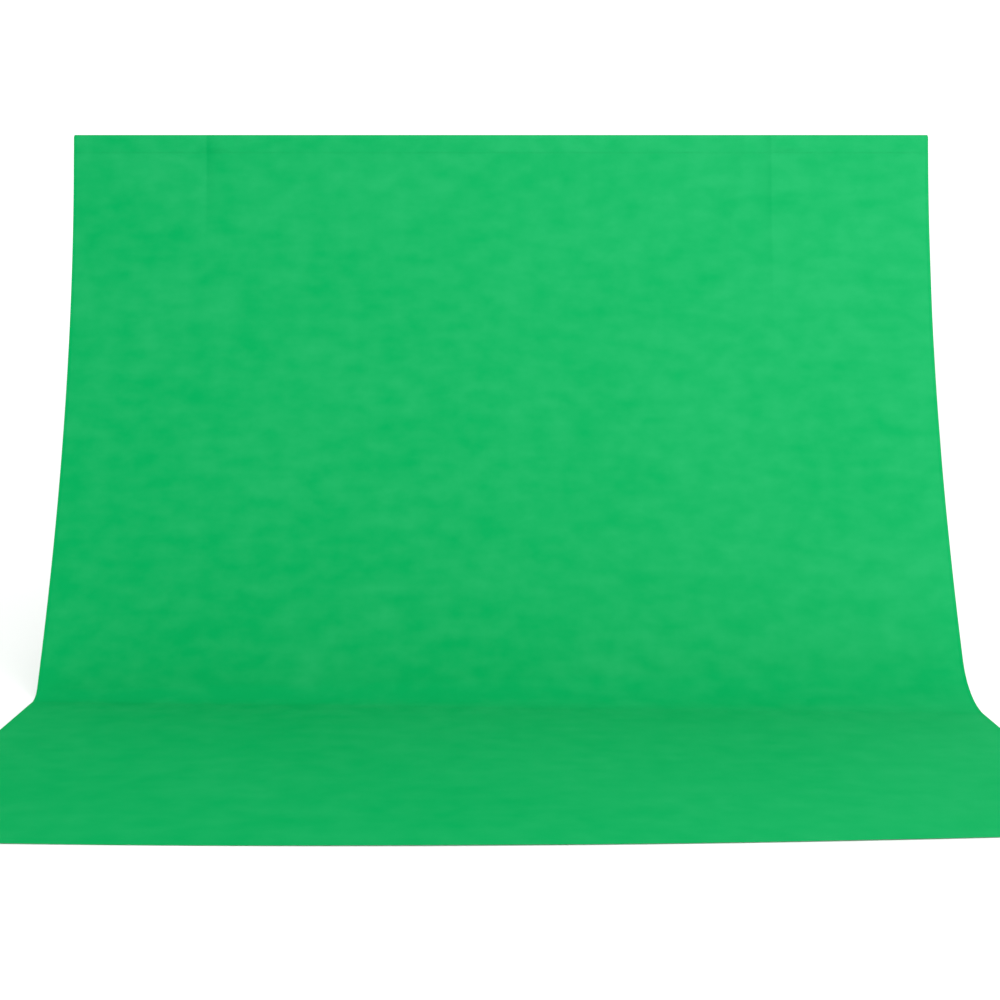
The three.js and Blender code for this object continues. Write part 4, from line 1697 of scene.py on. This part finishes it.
@dataclass
class Cloth:
    """The backdrop: a pole pocket, a hanging part, a cove and a floor part."""

    shop: Shop
    lean: float = 0.0732
    entry: float = math.radians(24)
    cove_left: float = 0.055
    cove_right: float = 0.200
    cove_power: float = 1.15
    reach: float = 1.512
    edge_slant: float = 0.0135
    edge_bend: float = 0.0184
    thick: float = 0.9 * MM
    mouth: float = 33 * MM
    lap: float = 1.6 * MM
    margin: float = 0.02
    columns: int = 200
    hang_rows: int = 110
    cove_rows: int = 22
    floor_rows: int = 48
    floor_power: float = 0.85
    swells: tuple[float, ...] = (2.3, 3.9, 6.1)
    swell_height: float = 4.2 * MM
    swell_start: float = 0.35
    swell_end: float = 0.45
    ripples: int = 6
    ripple_height: float = 1.1 * MM
    ripple_end: float = 0.30
    lying_angle: float = 1.2
    hem_start: int = 2
    hem_columns: int = 5
    hem_inset: tuple[float, float] = (1.5 * MM, 12.5 * MM)
    hem_puff: float = 0.35 * MM
    hem_share: float = 0.7
    # A band of painted shade over the cove: its strength, the angle from upright at its middle, its
    # width in angle, and how fast it fades above the cove and along the floor past it.
    band_tone: float = 0.24
    band_angle: float = 0.95
    band_width: float = 0.50
    band_above: float = 0.07
    band_past: float = 0.35
    lowered: float = 1.0
    stand_swell: float = 0.055
    tent_width: float = 0.011
    tent_room: float = 0.5 * MM
    pocket_wave: float = 0.25 * MM
    back_open: float = 9 * MM

    def __post_init__(self) -> None:
        """Reads the cloth's places from the frame."""
        sheet, pocket = Extent.of("backdrop_sheet"), Extent.of("pole_pocket")
        self.half = float(sheet.high[0])
        self.front = float(pocket.low[1])
        self.stitch = float(sheet.high[2])
        self.top = float(pocket.high[2])
        bar = Extent.of("crossbar_section_1")
        self.bar_y, self.bar_z = float(bar.middle[1]), float(bar.middle[2])

    def path(self, across: np.ndarray) -> tuple[np.ndarray, np.ndarray, np.ndarray]:
        """The cloth's profile at each place across it, from the stitch line to the front.

        Down the hanging part, forward is lean u + bow u^2 at a drop u. The cove is an arc
        that starts at the entry angle from upright and ends level, with a radius that
        grows smoothly from left to right. The floor part runs level to the front edge.

        Args:
            across: Places across the cloth, shape (columns,).

        Returns:
            Forward and height, each (rows, columns), and the same profile's angle from
            upright.
        """
        share = np.clip((across / self.half + 1) / 2, 0, 1)
        radius = self.cove_left + (self.cove_right - self.cove_left) * share**self.cove_power
        cove_top = self.thick + radius * (1 - math.sin(self.entry))
        drop = self.stitch - cove_top
        bow = (math.tan(self.entry) - self.lean) / (2 * drop)
        down = np.linspace(0, 1, self.hang_rows)[:, None] * drop
        hang = self.lean * down + bow * down**2
        slope = np.arctan(self.lean + 2 * bow * down)
        turn = np.linspace(self.entry, math.pi / 2, self.cove_rows + 1)[1:, None]
        heel = hang[-1] + radius * math.cos(self.entry)
        curve = heel - radius * np.cos(turn)
        curve_z = self.thick + radius * (1 - np.sin(turn))
        edge = self.reach - self.edge_slant * across - self.edge_bend * across**2
        step = np.linspace(0, 1, self.floor_rows + 1)[1:, None] ** self.floor_power
        floor = curve[-1] + step * (edge - curve[-1])
        forward = np.concatenate([hang, curve, floor])
        height = np.concatenate([self.stitch - down, curve_z, np.full_like(floor, self.thick)])
        flat = np.full_like(floor, math.pi / 2)
        angle = np.concatenate([slope, np.broadcast_to(turn, curve.shape), flat])
        return forward, height, angle

    def relief(self, across: np.ndarray, height: np.ndarray, run: np.ndarray) -> np.ndarray:
        """How far the surface stands out from its plain profile.

        Broad upright swells grow below the bar and die out in the cove, and narrow level
        ripples lie over them.

        Args:
            across: Places across the cloth, shape (columns,).
            height: Heights, shape (rows, columns).
            run: Distances along the cloth from the stitch line, shape (rows, columns).

        Returns:
            The relief in metres, positive towards the front.
        """
        rng = np.random.default_rng(SEED)
        below = np.clip((self.stitch - height) / self.swell_start, 0, 1)
        free = below * np.clip(height / self.swell_end, 0, 1)
        still = np.clip(height / self.ripple_end, 0, 1)
        total = np.zeros_like(height)
        for count in self.swells:
            phase, drift = rng.uniform(0, TAU), rng.uniform(-0.5, 0.5)
            wave = np.sin(TAU * count * across[None] / (2 * self.half) + phase + drift * run)
            total += self.swell_height / count * wave * free
        for _ in range(self.ripples):
            length, width = rng.uniform(0.5, 1.1), rng.uniform(0.05, 0.11)
            centre, middle = rng.uniform(-1.3, 1.3), rng.uniform(0.15, 1.5)
            bend = 0.03 * np.sin((across - centre) * 3.0)[None]
            aside, along = (across[None] - centre) / length, (run - middle - bend) / width
            total += self.ripple_height * np.exp(-(aside**2) - along**2) * still
        return total

    def crease(self, across: np.ndarray, run: np.ndarray) -> tuple[np.ndarray, np.ndarray]:
        """The faint creases that fall from where the stands' heads press.

        A crease stands out by h e^(-d/w) e^(-(r/l)^2), at a distance d from its line and r
        along the cloth. Its painted shade and light have the same form, with a sign that changes at
        the line: painted shade on one side, painted light on the other.

        Args:
            across: Places across the cloth, shape (columns,).
            run: Distances along the cloth from the stitch line, shape (rows, columns).

        Returns:
            The relief in metres and the painted shading, positive where painted shade darkens the cloth
            and negative where painted light pales it.
        """
        relief, tone = np.zeros_like(run), np.zeros_like(run)
        below = run + POCKET_FRONT
        for mark in CREASES:
            off = across[None] - mark.place - mark.slant * below
            shape = np.exp(-np.abs(off) / mark.width - (below / mark.length) ** 2)
            relief += mark.height * shape * np.clip(run / 0.04, 0, 1)
            tone += mark.tone * shape * np.tanh(off / (3 * MM))
        return relief, np.where(tone > 0, tone, tone * 0.8)

    def surface(self, across: np.ndarray) -> tuple[np.ndarray, np.ndarray]:
        """The cloth's upper or front surface.

        Args:
            across: Places across the cloth.

        Returns:
            Points (rows, columns, 3), and each point's distance along the cloth.
        """
        forward, height, angle = self.path(across)
        step = np.hypot(np.diff(forward, axis=0), np.diff(height, axis=0))
        run = np.concatenate([np.zeros((1, len(across))), np.cumsum(step, axis=0)])
        relief = self.relief(across, height, run) + self.crease(across, run)[0]
        ripple = self.floor_ripple(across, run, angle)
        forward = forward + relief * np.cos(angle)
        height = height + np.maximum(relief, 0) * np.sin(angle) + ripple
        y = self.front - forward
        x = np.broadcast_to(across, y.shape)
        return np.stack([x, y, height], -1), run

    def cove_and_crease_shading(self, across: np.ndarray, run: np.ndarray) -> np.ndarray:
        """The sheet's painted shading: painted shade and light beside its creases, and a band of
        painted shade where its cove begins to turn.

        Over the cove the band is e^(-((a - m)/w)^2) at an angle a from upright. It fades
        with the height above the cove, and with the distance past it along the floor.

        Args:
            across: Places across the cloth.
            run: Distances along the cloth from the stitch line.

        Returns:
            The painted shading, shape (rows, columns).
        """
        _, height, angle = self.path(across)
        above = np.maximum(height - height[self.hang_rows - 1], 0) / self.band_above
        past = np.maximum(run - run[self.hang_rows + self.cove_rows - 1], 0) / self.band_past
        turn = (angle - self.band_angle) / self.band_width
        return self.band_tone * np.exp(-(turn**2) - above - past) + self.crease(across, run)[1]

    def floor_ripple(self, across: np.ndarray, run: np.ndarray, angle: np.ndarray) -> np.ndarray:
        """Low waves where the cloth lies on the floor, none of them below it."""
        lying = (angle - self.lying_angle) / (math.pi / 2 - self.lying_angle)
        broad = np.sin(across[None] * 2.1 + 1.0) * np.sin(run * 5.0)
        fine = np.sin(across[None] * 5.3 + run * 3.1) * np.sin(run * 9.0 + 0.7)
        return np.clip(lying, 0, 1) * self.ripple_height * (1 + 0.6 * broad + 0.4 * fine)

    def sheet_object(
        self,
        name: str,
        points: np.ndarray,
        uv: np.ndarray,
        tone: np.ndarray,
        body: str,
        keep: np.ndarray | None = None,
    ) -> bpy.types.Object:
        """A piece of cloth from a grid of points on its face, thickened behind.

        Args:
            name: The piece's name.
            points: Points (rows, columns, 3) on the face.
            uv: Their places on the flat cloth in metres, (rows, columns, 2).
            tone: How much painted shade darkens the cloth at each point, negative where painted light
                pales it, (rows, columns).
            body: The body that it moves with.
            keep: Mask of the quads to keep, in grid order.

        Returns:
            The piece.
        """
        rows, columns = points.shape[:2]
        quads = grid_faces(rows, columns, False, False)
        quads = quads if keep is None else quads[keep]
        used = np.unique(quads)
        index = np.zeros(rows * columns, int)
        index[used] = np.arange(len(used))
        shell = Shell(points.reshape(-1, 3)[used], index[quads])
        made = self.shop.piece(name, shell, Slot.CLOTH, body, sharp=60.0)
        layer = made.data.uv_layers.new(name="UVMap")
        corners = uv.reshape(-1, 2)[used][shell.faces.ravel()]
        layer.data.foreach_set("uv", corners.astype(np.float32).ravel())
        shade = made.data.attributes.new("tone", "FLOAT", "POINT")
        shade.data.foreach_set("value", tone.ravel()[used].astype(np.float32))
        solid = made.modifiers.new("thickness", "SOLIDIFY")
        solid.thickness = self.thick
        solid.offset = -1.0
        self.shop.applied(made, 50.0)
        return made

    def sheet(self) -> bpy.types.Object:
        """The cloth below the stitch line.

        Returns:
            The piece.
        """
        border = np.array([0, 6, 13]) * MM
        side = self.half - self.margin
        inner = np.linspace(-side, side, self.columns - 2 * len(border))
        fine = np.array([-25, -12, -5, -1.5, 1.5, 5, 12, 25]) * MM
        sharp = np.array([mark.place for mark in CREASES if mark.slant == 0])
        lines = [place + fine for place in sharp]
        inner = inner[nearest(inner, sharp) > fine[-1] + 3 * MM]
        across = np.concatenate([-self.half + border, inner, *lines, self.half - border])
        across = np.sort(across)
        points, run = self.surface(across)
        uv = np.stack([np.broadcast_to(across, run.shape), run], -1)
        made = self.sheet_object("backdrop_cloth", points, uv, self.cove_and_crease_shading(across, run), "left_base")
        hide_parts("backdrop_sheet")
        return made

    def hem(self, side: Side) -> bpy.types.Object:
        """The turned side hem: a narrow strip behind the cloth's edge.

        Args:
            side: The edge that it runs down.

        Returns:
            The piece.
        """
        sign = -1.0 if side is Side.LEFT else 1.0
        offsets = np.linspace(*self.hem_inset, self.hem_columns)
        across = sign * (self.half - offsets[:: -int(sign)])
        points, run = self.surface(across)
        _, _, angle = self.path(across)
        back = np.stack([0 * angle, np.cos(angle), -np.sin(angle)], -1)
        puff = self.hem_puff * np.sin(np.linspace(0, math.pi, self.hem_columns))[None, :, None]
        hanging = np.clip((1.45 - angle) / 0.2, 0, 1)[..., None]
        points = points + back * (self.thick + 0.05 * MM + puff) * hanging
        rows = slice(self.hem_start, int(self.hang_rows + self.cove_rows * self.hem_share))
        uv = np.stack([np.broadcast_to(across, run.shape), run], -1)
        plain = np.zeros_like(run[rows])
        name = f"side_hem_{side.value}"
        return self.sheet_object(name, points[rows], uv[rows], plain, "left_base")

    def loop(self, radius: float, drop: float, depth: float) -> np.ndarray:
        """The pocket's outline, from the stitch line up, over the bar and back down.

        The front and the back run straight along the tangents from the stitch line to a
        circle of the radius about the bar, and the cloth follows the circle between them.

        Args:
            radius: The circle's radius, which is scaled up in Y where the depth needs it.
            drop: How far the stitch line is below the bar's axis.
            depth: How far it is in front of the bar's axis.

        Returns:
            Points as (back, up) from the bar's axis.
        """
        foot = np.array([-depth, -drop])
        heel = foot + (self.lap, 0.0)
        angles = []
        for point, sign in ((foot, -1), (heel, 1)):
            toward = math.atan2(point[1], point[0]) % TAU
            angles.append(toward + sign * math.acos(radius / np.linalg.norm(point)))
        a = np.linspace(angles[0], angles[1] - TAU, 45)[:, None]
        over = radius * np.concatenate([np.cos(a), np.sin(a)], axis=1)
        step = np.linspace(0, 1, 13)[:, None]
        front = foot + step[:-1] * (over[0] - foot)
        back = over[-1] + step[1:] * (heel - over[-1])
        tail = heel + np.array([(0.5 * MM, -5 * MM), (1.1 * MM, -11 * MM)])
        return np.concatenate([front, over, back, tail])

    def pocket_columns(self, stands: np.ndarray, domes: np.ndarray) -> np.ndarray:
        """Places across the pocket, close together at its mouths and over the buttons.

        Args:
            stands: The stands' places across the cloth.
            domes: The sprung buttons' places.

        Returns:
            The places, in order.
        """
        fine = np.linspace(-0.09, 0.09, 31)
        rims = np.array([-self.mouth, -self.mouth + 2 * MM, self.mouth - 2 * MM, self.mouth])
        near = (stands[:, None] + np.concatenate([fine, rims])).ravel()
        over = (domes[:, None] + np.linspace(-0.03, 0.03, 15)).ravel()
        return np.unique(np.concatenate([np.linspace(-self.half, self.half, 241), near, over]))

    def pocket(self) -> bpy.types.Object:
        """The pole pocket: up the front, over the bar and back down to the stitch line.

        It lies snugly on the bar. Over each cradle it stands out by the bulge's share of
        the way to a wider outline, e^(-(d/w)^4) at a distance d along the bar, and its back
        is cut away there. Over each sprung button its back rises in a small tent.

        Returns:
            The piece.
        """
        depth, rise = self.bar_y - self.front, self.top - self.bar_z
        snug = self.loop(rise, self.bar_z - self.stitch, depth)
        stands = np.array([Extent.of(f"{side.value}_upper_tube").middle[0] for side in Side])
        buttons = [Extent.of(f"spring_button_{n}") for n in (1, 2, 3)]
        domes = np.array([button.middle[0] for button in buttons])
        across = self.pocket_columns(stands, domes)
        bulge = np.exp(-((nearest(across, stands) / self.stand_swell) ** 4))[None]
        upper = np.clip(1 + snug[:, 1:] / (self.bar_z - self.stitch), 0, 1)
        forward, behind = (np.clip(sign * snug[:, :1] / rise, 0, 1) for sign in (-1, 1))
        lift = bulge * np.minimum(upper * 3, 1) * forward * (depth - 0.4 * MM - rise)
        wave = self.pocket_wave * (1 + np.sin(across * 31.0)) * behind
        proud = buttons[0].high[1] - self.bar_y - rise + self.thick + self.tent_room
        tent = proud * np.exp(-((nearest(across, domes)[None] / self.tent_width) ** 2)) * behind**4
        y = self.bar_y + snug[:, :1] - lift + wave + tent
        z = self.bar_z + snug[:, 1:] + 0 * across[None]
        points = np.stack([np.broadcast_to(across, y.shape), y, z], -1)
        step = np.linalg.norm(np.diff(snug, axis=0), axis=1)
        run = np.concatenate([[0.0], -np.cumsum(step)])[:, None] + 0 * across[None]
        uv = np.stack([np.broadcast_to(across, run.shape), run], -1)
        open_x = nearest((across[1:] + across[:-1]) / 2, stands) < self.mouth
        row = np.arange(len(snug) - 1)
        low_back = (row > len(snug) // 2) & (snug[:-1, 1] < self.back_open)
        keep = ~(low_back[:, None] & open_x[None]).ravel()
        # Painted shade and light beside the creases, carried up the pocket's front.
        tone = self.crease(across, run)[1]
        made = self.sheet_object("pole_pocket_cloth", points, uv, tone, "crossbar", keep)
        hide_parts("pole_pocket")
        return made

    def stitches(self, name: str, line: np.ndarray, body: str) -> bpy.types.Object:
        """A lockstitch row along a line: short, plump threads end to end.

        Each thread is a slim spindle that is carried to its place, with its length along
        the line there.

        Args:
            name: The row's name.
            line: Points along the line, shape (n, 3).
            body: The body that it moves with.

        Returns:
            The piece.
        """
        pitch, length, radius = 4.0 * MM, 3.4 * MM, 0.22 * MM
        t = np.linspace(-1, 1, 5)
        profile = np.stack([radius * np.sqrt(1 - t**4), t * length / 2], 1)
        thread = revolve(profile, 5, False)
        run = np.concatenate([[0.0], np.cumsum(np.linalg.norm(np.diff(line, axis=0), axis=1))])
        at = np.arange(pitch, run[-1] - pitch, pitch)
        here, ahead = (
            np.stack([np.interp(at + d, run, line[:, k]) for k in range(3)], 1) for d in (0, 1 * MM)
        )
        along = (ahead - here) / np.linalg.norm(ahead - here, axis=1)[:, None]
        side = np.cross(along, AXIS_Y + 0.3 * AXIS_X + 0.2 * AXIS_Z)
        side /= np.linalg.norm(side, axis=1)[:, None]
        turn = np.stack([side, np.cross(along, side), along], axis=1)
        points = here[:, None] + np.einsum("pk,nkc->npc", thread.points, turn)
        faces = thread.faces[None] + np.arange(len(at))[:, None, None] * len(thread.points)
        shell = Shell(points.reshape(-1, 3), faces.reshape(-1, 3))
        made = self.shop.piece(name, shell, Slot.CLOTH, body)
        layer = made.data.uv_layers.new(name="UVMap")
        corners = shell.points[shell.faces.ravel()][:, [0, 2]]
        layer.data.foreach_set("uv", corners.astype(np.float32).ravel())
        return made

    def pocket_line(self) -> np.ndarray:
        """The stitch row across the pocket's foot."""
        side, y, z = self.half - 4 * MM, self.front - 0.02 * MM, self.stitch + 2 * MM
        return np.array([(-side, y, z), (side, y, z)])

    def hem_line(self, side: Side) -> np.ndarray:
        """The stitch row down one side hem, over the hanging part, the cove and the floor."""
        sign = -1.0 if side is Side.LEFT else 1.0
        points, _ = self.surface(np.array([sign * (self.half - 12 * MM)]))
        return points[self.hem_start :, 0]

    def build(self) -> None:
        sheet = self.sheet()
        hems = [self.hem(side) for side in Side]
        rows = {f"hem_stitches_{side.value}": self.hem_line(side) for side in Side}
        hems += [self.stitches(name, line, "left_base") for name, line in rows.items()]
        pocket = self.pocket()
        stitches = self.stitches("pocket_stitches", self.pocket_line(), "crossbar")
        for piece in (sheet, *hems):
            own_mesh(piece)


# ------------------------------------------------------------------------------- studio


@dataclass
class Studio:
    """The pale floor, the soft lights and the camera."""

    distance: float = 4.272
    height: float = 1.285
    pitch: float = math.radians(4.0)
    lens: float = 43.32
    shift: tuple[float, float] = (-0.001, -0.1153)
    floor_size: float = 60.0

    def floor(self) -> None:
        """The floor, as a broad plate whose top is just below the feet's soles."""
        half, thick, sunk = self.floor_size / 2, 0.05, 0.5 * MM
        outline = softened([(-half, -half), (half, -half), (half, half), (-half, half)], 1.0)
        shell = plate(outline, thick, 0.01).placed(upright((0, 0, -thick - sunk)))
        mesh = bpy.data.meshes.new("studio_floor")
        mesh.from_pydata(shell.points.tolist(), [], shell.faces.tolist())
        made = bpy.data.objects.new("studio_floor", mesh)
        mesh.materials.append(FloorFinish().build("studio_floor"))
        bpy.context.collection.objects.link(made)

    def light(self, name: str, place: Sequence[float], size: float, power: float) -> None:
        """A soft square light that looks at the cloth's middle.

        Args:
            name: The light's name.
            place: Where it stands.
            size: Length of its side.
            power: Its power in watts.
        """
        lamp = bpy.data.lights.new(name, "AREA")
        lamp.shape, lamp.size, lamp.energy = "SQUARE", size, power
        made = bpy.data.objects.new(name, lamp)
        made.location = place
        target = Vector((0.0, 0.2, 0.8))
        made.rotation_euler = (target - Vector(place)).to_track_quat("-Z", "Y").to_euler()
        bpy.context.collection.objects.link(made)

    def world(self, strength: float) -> None:
        """A plain white surround."""
        world = bpy.data.worlds.new("studio_world")
        world.use_nodes = True
        background = world.node_tree.nodes["Background"]
        background.inputs["Color"].default_value = (1.0, 1.0, 1.0, 1.0)
        background.inputs["Strength"].default_value = strength
        bpy.context.scene.world = world

    def camera(self, front: float) -> None:
        """The camera, level with a person's chest and tipped slightly down.

        Args:
            front: The cloth's front face at its top.
        """
        lens = bpy.data.cameras.new("studio_camera")
        lens.sensor_width, lens.lens = 36.0, self.lens
        lens.shift_x, lens.shift_y = self.shift
        made = bpy.data.objects.new("studio_camera", lens)
        made.location = (0.0, front - self.distance, self.height)
        made.rotation_euler = (math.pi / 2 - self.pitch, 0.0, 0.0)
        bpy.context.collection.objects.link(made)
        bpy.context.scene.camera = made

    def build(self) -> None:
        """Sets the whole studio up."""
        bpy.context.scene.view_settings.view_transform = "Standard"
        self.floor()
        self.world(strength=1.15)
        self.light("key_light", place=(3.2, -3.6, 2.8), size=2.5, power=82.0)
        self.light("fill_light", place=(-1.5, -5.2, 1.8), size=3.0, power=22.0)
        self.light("top_light", place=(0.6, -1.8, 4.6), size=2.5, power=24.0)
        self.camera(Extent.of("pole_pocket").low[1])


def main() -> None:
    """Builds the studio and every sub-assembly, in order."""
    logging.basicConfig(level=logging.INFO, format="%(name)s: %(message)s")
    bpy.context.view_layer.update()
    Studio().build()
    shop = Shop()
    Cloth(shop).build()
    Crossbar(shop).build()
    for side in Side:
        Column(shop, side).build()
        Tripod(shop, side).build()


if __name__ == "__main__":
    main()
